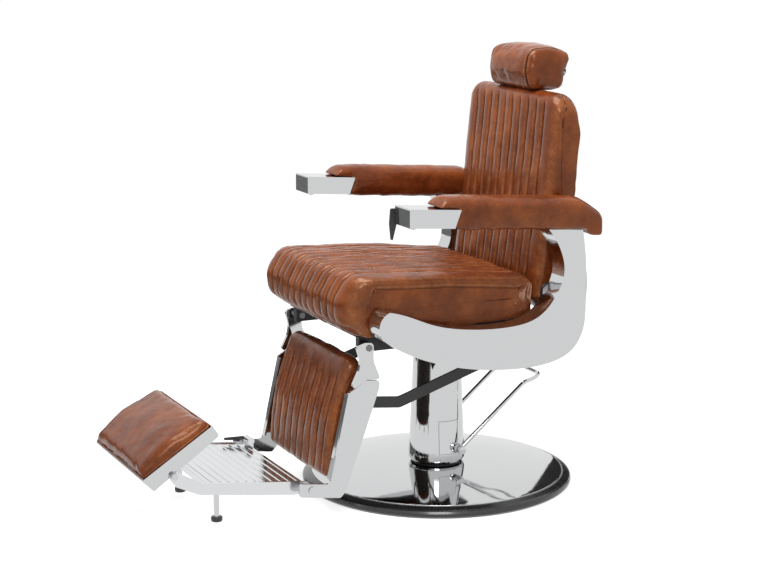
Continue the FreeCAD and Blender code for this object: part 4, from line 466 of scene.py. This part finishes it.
def cushion_mesh(name, corners, half, step, grooves, depth, crown, width, groove_share, side_bulge, bend,
                 side_seam=None):
    """The whole cushion in millimetres, as a mesh in metres with its masks of wear and painted highlight and
    of painted shade in the creases.
    """
    places, normals, drops = outline_points(corners, step)
    xs, lines = stations(half, grooves, CHANNEL_PITCH)
    ring = len(places)
    share = drops / max(drops.max(), 1e-6)
    seam_share = share * np.clip((normals[:, 1] - 0.35) / 0.4, 0, 1)
    depth_share = groove_share(places)
    points, wear_and_highlights, crease_shades = [], [], []
    for x in xs:
        edge = roll((abs(x) - (half - width)) / width)
        inset = drops * edge + crown * share * (x / half) ** 2
        wear_and_highlight = np.zeros(ring)
        # Masks of painted highlight (with wear) and of painted shade.
        painted_shade = np.zeros(ring)
        for line in lines:
            distance = abs(x - line)
            dent = depth * (bell(distance, GROOVE_WIDTH) + SHOULDER_SHARE * bell(distance, SHOULDER_WIDTH))
            inset = inset + dent * depth_share
            # Painted shade in the crease and painted highlight bands beside it.
            painted_shade = np.maximum(painted_shade, bell(distance, SHADE_WIDTH) * depth_share)
            wear_and_highlight = np.maximum(wear_and_highlight, HIGHLIGHT_SHARE * bell(distance - HIGHLIGHT_AWAY, HIGHLIGHT_WIDTH) * depth_share)
        # Painted highlight along the rolled edge.
        lip_highlight = bell(abs(x) - (half - LIP_PLACE * width), LIP_WIDTH)
        wear_and_highlight = np.maximum(wear_and_highlight, lip_highlight * share * LIP_HIGHLIGHT)
        moved = bend(x, places - normals * inset[:, None])
        points.append(np.column_stack((np.full(ring, x), moved)))
        wear_and_highlights.append(wear_and_highlight)
        crease_shades.append(painted_shade)
    verts = list(np.concatenate(points))
    wear_and_highlights, crease_shades = list(np.concatenate(wear_and_highlights)), list(np.concatenate(crease_shades))
    faces = []
    for s in range(len(xs) - 1):
        for k in range(ring):
            nxt = (k + 1) % ring
            faces.append((s * ring + k, s * ring + nxt, (s + 1) * ring + nxt, (s + 1) * ring + k))
    for side, first in ((-1, 0), (1, (len(xs) - 1) * ring)):
        edge_points = points[0 if side < 0 else -1]
        low, high = edge_points[:, 1:].min(0), edge_points[:, 1:].max(0)
        middle = (low + high) / 2
        long_way = 0 if high[0] - low[0] > high[1] - low[1] else 1
        slack = (high - low)[1 - long_way] / 2
        start, end = middle.copy(), middle.copy()
        start[long_way], end[long_way] = low[long_way] + slack, high[long_way] - slack
        axis = end - start
        along = np.clip(((edge_points[:, 1:] - start) @ axis) / max(axis @ axis, 1e-6), 0, 1)
        goal = start + along[:, None] * axis
        reach = np.linalg.norm(edge_points[:, 1:] - goal, axis=1)
        previous = [first + k for k in range(ring)]
        for distance in SIDE_RINGS:
            t = np.minimum(distance / np.maximum(reach, 1e-6), 0.97)
            spot = edge_points[:, 1:] + (goal - edge_points[:, 1:]) * t[:, None]
            out = side_bulge * np.sin(np.pi / 2 * np.minimum(t * 1.3, 1)) ** 1.2
            painted_shade = np.zeros(ring)
            seam_highlight = np.zeros(ring)
            # The side seam is pressed in, with painted shade in its line and painted highlight beside it.
            if side_seam is not None:
                pressed = bell(distance - side_seam, SEAM_WIDTH)
                out = out - SEAM_DEPTH * seam_share * pressed
                painted_shade = SEAM_SHADE * seam_share * pressed
                seam_highlight = seam_share * bell(distance - side_seam + SEAM_HIGHLIGHT_AWAY, SEAM_HIGHLIGHT_WIDTH)
            base = len(verts)
            verts.extend(np.column_stack((np.full(ring, side * half) + side * out, spot)))
            wear_and_highlights.extend(seam_highlight * SEAM_HIGHLIGHT)
            crease_shades.extend(painted_shade)
            for k in range(ring):
                nxt = (k + 1) % ring
                loop = (previous[k], previous[nxt], base + nxt, base + k)
                faces.append(loop if side > 0 else loop[::-1])
            previous = [base + k for k in range(ring)]
        faces.append(tuple(previous) if side > 0 else tuple(previous[::-1]))
    mesh = bpy.data.meshes.new(name)
    mesh.from_pydata([tuple(co / 1000) for co in verts], [], faces)
    for attribute, numbers in (("wear_and_highlight", wear_and_highlights), ("crease_shade", crease_shades)):
        layer = mesh.attributes.new(attribute, "FLOAT", "POINT")
        layer.data.foreach_set("value", np.clip(np.array(numbers, np.float32), 0, 1))
    return mesh


# %% Round a cushion's corners as seen from its face
def corner_bend(half, radius, axis, line, way, reach):
    """Draws the end of a cushion in near its sides: (y, z)[axis] beyond line, in direction way."""
    def bend(x, places):
        u = np.clip(abs(x) - (half - radius), 0, radius)
        inward = radius - math.sqrt(max(radius ** 2 - u ** 2, 0.0))
        moved = places.copy()
        share = np.clip((moved[:, axis] - line) * way / reach + 1, 0, 1)
        moved[:, axis] -= way * inward * share ** 1.5
        return moved
    return bend


# %% Put a cushion in the scene
MERGE_DISTANCE = 0.00005


def settle(name, mesh, body, replaced):
    """Cleans the mesh, makes it an object, and tells the frame what it is."""
    cleaner = bmesh.new()
    cleaner.from_mesh(mesh)
    bmesh.ops.remove_doubles(cleaner, verts=cleaner.verts, dist=MERGE_DISTANCE)
    bmesh.ops.recalc_face_normals(cleaner, faces=cleaner.faces)
    cleaner.to_mesh(mesh)
    cleaner.free()
    mesh.polygons.foreach_set("use_smooth", [True] * len(mesh.polygons))
    thing = bpy.data.objects.new(name, mesh)
    scene.collection.objects.link(thing)
    mesh.materials.append(leather)
    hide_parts(replaced)
    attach(thing, body)
    print(name, len(mesh.vertices), "points")


# %% Folds and wrinkles
def move_points(mesh, moved):
    mesh.vertices.foreach_set("co", [part for place in moved for part in place])
    mesh.update()


def soft_folds(mesh, amount, scale, seed):
    """Moves each point along its normal by a slow noise, as foam under leather is never quite even."""
    mesh.update()
    shift = Vector((seed, seed * 0.7, 0))
    moved = [vert.co + vert.normal * (noise.fractal(vert.co * scale + shift, 0.8, 2.1, 3) * amount)
             for vert in mesh.vertices]
    move_points(mesh, moved)


def wrinkles(mesh, centre, reach, way, pitch, amount):
    """Gathers the leather round a point: small folds across one direction, fading outwards."""
    mesh.update()
    centre, way = Vector(centre), Vector(way).normalized()
    moved = []
    for vert in mesh.vertices:
        offset = vert.co - centre
        fade = max(0.0, 1 - offset.length / reach) ** 1.5
        if fade > 0:
            phase = offset.dot(way) / pitch + 1.3 * noise.noise(vert.co * 30)
            moved.append(vert.co + vert.normal * (amount * fade * math.sin(2 * math.pi * phase)))
        else:
            moved.append(vert.co.copy())
    move_points(mesh, moved)


# %% [markdown]
# ## The seat
#
# The seat is one padded top that rolls over its front edge and under, with eleven channels sewn from back
# to front. Its sides are separate panels: their seam lies a little below the top edge, and the leather
# over it stands up like a lip. The underside slopes, because the straps of the leg rest swing up close
# under it when the back is fully down.

# %% Seat cushion
SEAT_HALF = 256
SEAT_CORNERS = [(128, 467, 12, 3), (137, 573, 30, 20), (-120, 599, 400, 21), (-350, 610, 52, 24),
                (-390, 544, 50, 24), (-383, 489, 45, 20), (-337, 456, 28, 2)]


def seat_grooves(places):
    """Grooves start under the back, run over the top and the nose and end under the front."""
    top = np.clip((places[:, 1] - 470) / 14, 0, 1)
    rear = np.clip((125 - places[:, 0]) / 20, 0, 1)
    return top * rear * np.where((places[:, 1] < 500) & (places[:, 0] > -300), 0, 1)


seat_mesh = cushion_mesh("seat_leather", SEAT_CORNERS, SEAT_HALF, step=10, grooves=11, depth=5.6, crown=6,
                         width=46, groove_share=seat_grooves, side_bulge=4.5, side_seam=8.8,
                         bend=corner_bend(SEAT_HALF, radius=50, axis=0, line=-390, way=-1, reach=150))
soft_folds(seat_mesh, 0.0026, 15, 3.0)
for side in (1, -1):
    wrinkles(seat_mesh, (side * 0.245, -0.345, 0.588), 0.075, (0, 0.75, 0.66), 0.017, 0.0016)
    wrinkles(seat_mesh, (side * 0.256, 0.095, 0.525), 0.085, (0, 1, -0.35), 0.016, 0.0016)
settle("seat_leather", seat_mesh, "chair", "seat_cushion")

# %% [markdown]
# ## The back
#
# The back has ten channels that fade where the pad rolls over its top. Beside them runs a plain border
# that rolls into the wide plain side of the pad. A border without channels keeps the rolled edge smooth.

# %% Back cushion
BACK_HALF = 229
BACK_CORNERS = [(232, 473, 16, 3), (271, 780, 500, 5), (284, 930, 160, 10), (271, 1010, 44, 20),
                (205, 1015, 36, 24), (177, 730, 600, 24), (149, 506, 24, 16), (176, 473, 16, 3)]


def back_grooves(places):
    """Grooves on the front face, fading before the top."""
    front = np.clip((212 - places[:, 0]) / 10, 0, 1)
    return front * np.clip((1000 - places[:, 1]) / 22, 0, 1)


back_mesh = cushion_mesh("back_leather", BACK_CORNERS, BACK_HALF, step=11, grooves=10, depth=5.2, crown=5,
                         width=46, groove_share=back_grooves, side_bulge=2.5,
                         bend=corner_bend(BACK_HALF, radius=40, axis=1, line=1012, way=1, reach=130))
soft_folds(back_mesh, 0.0018, 15, 8.0)
settle("back_leather", back_mesh, "back", "back_cushion")

# %% [markdown]
# ## The calf cushion
#
# It hangs between the posts of the leg rest, on a board. It is the same kind of pad as the back, with nine
# shallower channels, so the same function makes it.

# %% Calf cushion
CALF_HALF = 184
CALF_CORNERS = [(-344, 95, 12, 2), (-330, 235, 500, 2), (-298, 385, 14, 10), (-334, 407, 24, 14),
                (-394, 235, 600, 16), (-404, 97, 20, 10)]


def calf_grooves(places):
    return np.clip((places[:, 1] - 100) / 30, 0, 1) * np.clip((-352 - places[:, 0]) / 10, 0, 1)


calf_mesh = cushion_mesh("calf_leather", CALF_CORNERS, CALF_HALF, step=9, grooves=9, depth=3.0, crown=4,
                         width=32, groove_share=calf_grooves, side_bulge=2.0,
                         bend=corner_bend(CALF_HALF, radius=38, axis=1, line=405, way=1, reach=110))
soft_folds(calf_mesh, 0.0014, 18, 9.0)
settle("calf_leather", calf_mesh, "leg_rest", "calf_cushion")

# %% [markdown]
# ## The plain pads
#
# The headrest, the armrests and the foot pad have no channels, so they can be blown up like real ones. Each
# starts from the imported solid, is remeshed into small even faces, and is inflated as cloth from within.
# The pressure tightens the faces and rounds the edges. A last smoothing takes out the steps of the remesh.

# %% Blow up a pad
PRESSURE = 4.0
MOST_GROWTH = 0.004
LAST_FRAME = 20


def rest_mesh(thing):
    """The thing as its modifiers leave it, in world coordinates."""
    graph = bpy.context.evaluated_depsgraph_get()
    mesh = bpy.data.meshes.new_from_object(thing.evaluated_get(graph))
    mesh.transform(thing.matrix_world)
    return mesh


def puffed(name, solid, voxel, smooth=6):
    """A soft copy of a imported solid."""
    start = rest_mesh(solid)
    start.materials.clear()
    soft = bpy.data.objects.new(name + "_start", start)
    scene.collection.objects.link(soft)
    remesh = soft.modifiers.new("remesh", "REMESH")
    remesh.mode, remesh.voxel_size = "VOXEL", voxel
    even = rest_mesh(soft)
    bpy.data.objects.remove(soft)
    soft = bpy.data.objects.new(name + "_cloth", even)
    scene.collection.objects.link(soft)
    before = np.empty(len(even.vertices) * 3, np.float32)
    even.vertices.foreach_get("co", before)
    cloth = soft.modifiers.new("cloth", "CLOTH")
    cloth.settings.use_pressure = True
    cloth.settings.uniform_pressure_force = PRESSURE
    cloth.settings.effector_weights.gravity = 0
    cloth.point_cache.frame_start, cloth.point_cache.frame_end = 1, LAST_FRAME
    for number in range(1, LAST_FRAME + 1):
        scene.frame_set(number)
        bpy.context.view_layer.update()
    blown = rest_mesh(soft)
    after = np.empty(len(blown.vertices) * 3, np.float32)
    blown.vertices.foreach_get("co", after)
    move = (after - before).reshape(-1, 3)
    length = np.linalg.norm(move, axis=1, keepdims=True)
    move *= np.minimum(1, MOST_GROWTH / np.maximum(length, 1e-9))
    before = (before.reshape(-1, 3) + move).ravel()
    scene.frame_set(1)
    print(name, "moved up to %.1f mm" % (1000 * float(length.max())))
    bpy.data.objects.remove(soft)
    even.vertices.foreach_set("co", before)
    smoother = bmesh.new()
    smoother.from_mesh(even)
    for _ in range(smooth):
        bmesh.ops.smooth_vert(smoother, verts=smoother.verts, factor=0.5, use_axis_x=True,
                              use_axis_y=True, use_axis_z=True)
    smoother.to_mesh(even)
    smoother.free()
    even.update()
    # Empty masks of wear and painted highlight and of painted shade, filled where a seam is sewn.
    for attribute in ("wear_and_highlight", "crease_shade"):
        even.attributes.new(attribute, "FLOAT", "POINT")
    return even


def shift_along_normals(mesh, amounts):
    """Moves every point out or in by its own amount, in metres."""
    mesh.update()
    move_points(mesh, [vert.co + vert.normal * float(amount) for vert, amount in zip(mesh.vertices, amounts)])


def points_of(mesh):
    flat = np.empty(len(mesh.vertices) * 3, np.float32)
    mesh.vertices.foreach_get("co", flat)
    return flat.reshape(-1, 3).astype(float)


# %% [markdown]
# ## Seams and piping
#
# On the real pads the panels are sewn edge to edge, and on the foot pad a thin cord is sewn in between. A
# seam is a line pressed in with a small swelling beside it, with painted shade in the line and painted
# highlight on the swelling, and needs a finer mesh. The cord is a tube swept along a closed path.

# %% Seams and piping on a blown pad
def finer(mesh):
    """The mesh after one subdivision."""
    thing = bpy.data.objects.new("finer", mesh)
    scene.collection.objects.link(thing)
    thing.modifiers.new("finer", "SUBSURF").levels = 1
    made = rest_mesh(thing)
    bpy.data.objects.remove(thing)
    return made


def seam(mesh, distance, depth=0.0016, width=0.0022):
    """Presses a seam in where distance (metres, one per point) is zero, paints shade into its line and a
    highlight beside it.
    """
    line = np.exp(-(distance / width) ** 2)
    beside = np.exp(-((np.abs(distance) - 2.6 * width) / (1.2 * width)) ** 2)
    shift_along_normals(mesh, -depth * line + 0.25 * depth * beside)
    # Painted shade in the seam line and painted highlight beside it.
    for attribute, strength in (("crease_shade", line), ("wear_and_highlight", 0.45 * beside)):
        numbers = np.empty(len(mesh.vertices), np.float32)
        mesh.attributes[attribute].data.foreach_get("value", numbers)
        mesh.attributes[attribute].data.foreach_set("value", np.maximum(numbers, strength).astype(np.float32))


def piping(mesh, path, radius, sides=10):
    """Adds a closed round cord along a path of points to the mesh."""
    maker = bmesh.new()
    maker.from_mesh(mesh)
    count = len(path)
    rings = []
    plane = (Vector(path[count // 4]) - Vector(path[0])).cross(Vector(path[count // 2]) - Vector(path[0]))
    plane.normalize()
    for i in range(count):
        here, ahead, behind = Vector(path[i]), Vector(path[(i + 1) % count]), Vector(path[i - 1])
        out = (ahead - behind).normalized().cross(plane)
        rings.append([maker.verts.new(here + radius * (math.cos(a) * out + math.sin(a) * plane))
                      for a in (2 * math.pi * k / sides for k in range(sides))])
    for i in range(count):
        ring, following = rings[i], rings[(i + 1) % count]
        for k in range(sides):
            maker.faces.new((ring[k], ring[(k + 1) % sides], following[(k + 1) % sides], following[k]))
    maker.to_mesh(mesh)
    maker.free()
    mesh.update()


# %% [markdown]
# ## The headrest
#
# A thick small pad with one seam near each side. It sags a little at the front of its underside, where the
# leather isn't held by the hinge plate.

# %% Headrest cushion
HEADREST_GROWTH = 0.0035
HEADREST_SEAM = 0.090
SAG, SAG_TOP, SAG_FADE, SAG_REAR = 0.006, 1.045, 0.02, 0.294
headrest_mesh = finer(puffed("headrest_leather", frame["nodes"]["headrest_cushion"], 0.004))
shift_along_normals(headrest_mesh, [HEADREST_GROWTH] * len(headrest_mesh.vertices))
low = points_of(headrest_mesh)
shift = np.clip((SAG_TOP - low[:, 2]) / SAG_FADE, 0, 1) * SAG * (low[:, 1] < SAG_REAR)
headrest_mesh.vertices.foreach_set("co", (low - np.column_stack((0 * shift, 0 * shift, shift))).ravel())
soft_folds(headrest_mesh, 0.0014, 22, 5.0)
seam(headrest_mesh, np.abs(np.abs(points_of(headrest_mesh)[:, 0]) - HEADREST_SEAM))
settle("headrest_leather", headrest_mesh, "headrest", "headrest_cushion")

# %% [markdown]
# ## The arm pads
#
# Each is a long pad pulled over its steel bar and turned down at the rear. The left and the right one are
# made by the same lines.

# %% Arm pads
for name in ("left", "right"):
    arm_mesh = finer(puffed(name + "_arm_leather", frame["nodes"][name + "_arm_pad"], 0.005, 4))
    soft_folds(arm_mesh, 0.0012, 20, 2.0)
    settle(name + "_arm_leather", arm_mesh, "chair", name + "_arm_pad")

# %% [markdown]
# ## The foot pad
#
# A flat pad in a chrome tray that turns about the front of the foot plate. The piping runs round it over the
# edge of the tray, so its path is laid in the plane of the pad and then turned to the pad's slope.

# %% Foot pad
PAD_AXIS = (-0.787, 0.159)
PAD_SLOPE = math.radians(32.5)
PIPING_LOW, PIPING_HIGH, PIPING_SIDE, PIPING_ABOVE = -0.0615, 0.1385, 0.1765, 0.0425
PIPING_CORNER, PIPING_STEP, PIPING_RADIUS = 0.012, 0.012, 0.0024


def on_pad(x, along, above):
    return (x, PAD_AXIS[0] + along * math.cos(PAD_SLOPE) - above * math.sin(PAD_SLOPE),
            PAD_AXIS[1] + along * math.sin(PAD_SLOPE) + above * math.cos(PAD_SLOPE))


def piping_path():
    """A rounded rectangle round the foot of the cushion, over the edge of its tray."""
    path = []
    for turn, (x, along) in enumerate(((PIPING_SIDE, PIPING_HIGH), (-PIPING_SIDE, PIPING_HIGH),
                                       (-PIPING_SIDE, PIPING_LOW), (PIPING_SIDE, PIPING_LOW))):
        cx = x - math.copysign(PIPING_CORNER, x)
        middle = (PIPING_LOW + PIPING_HIGH) / 2
        ca = along - math.copysign(PIPING_CORNER, along - middle)
        for k in range(7):
            angle = math.radians(90 * turn + 15 * k)
            path.append(on_pad(cx + PIPING_CORNER * math.cos(angle), ca + PIPING_CORNER * math.sin(angle),
                               PIPING_ABOVE))
    dense = []
    for i, here in enumerate(path):
        ahead = path[(i + 1) % len(path)]
        steps = max(1, int(math.dist(here, ahead) / PIPING_STEP))
        dense += [tuple(a + (b - a) * k / steps for a, b in zip(here, ahead)) for k in range(steps)]
    return dense


pad_mesh = puffed("foot_pad_leather", frame["nodes"]["foot_pad_cushion"], 0.005)
soft_folds(pad_mesh, 0.0018, 17, 4.0)
piping(pad_mesh, piping_path(), PIPING_RADIUS)
settle("foot_pad_leather", pad_mesh, "foot_pad", "foot_pad_cushion")
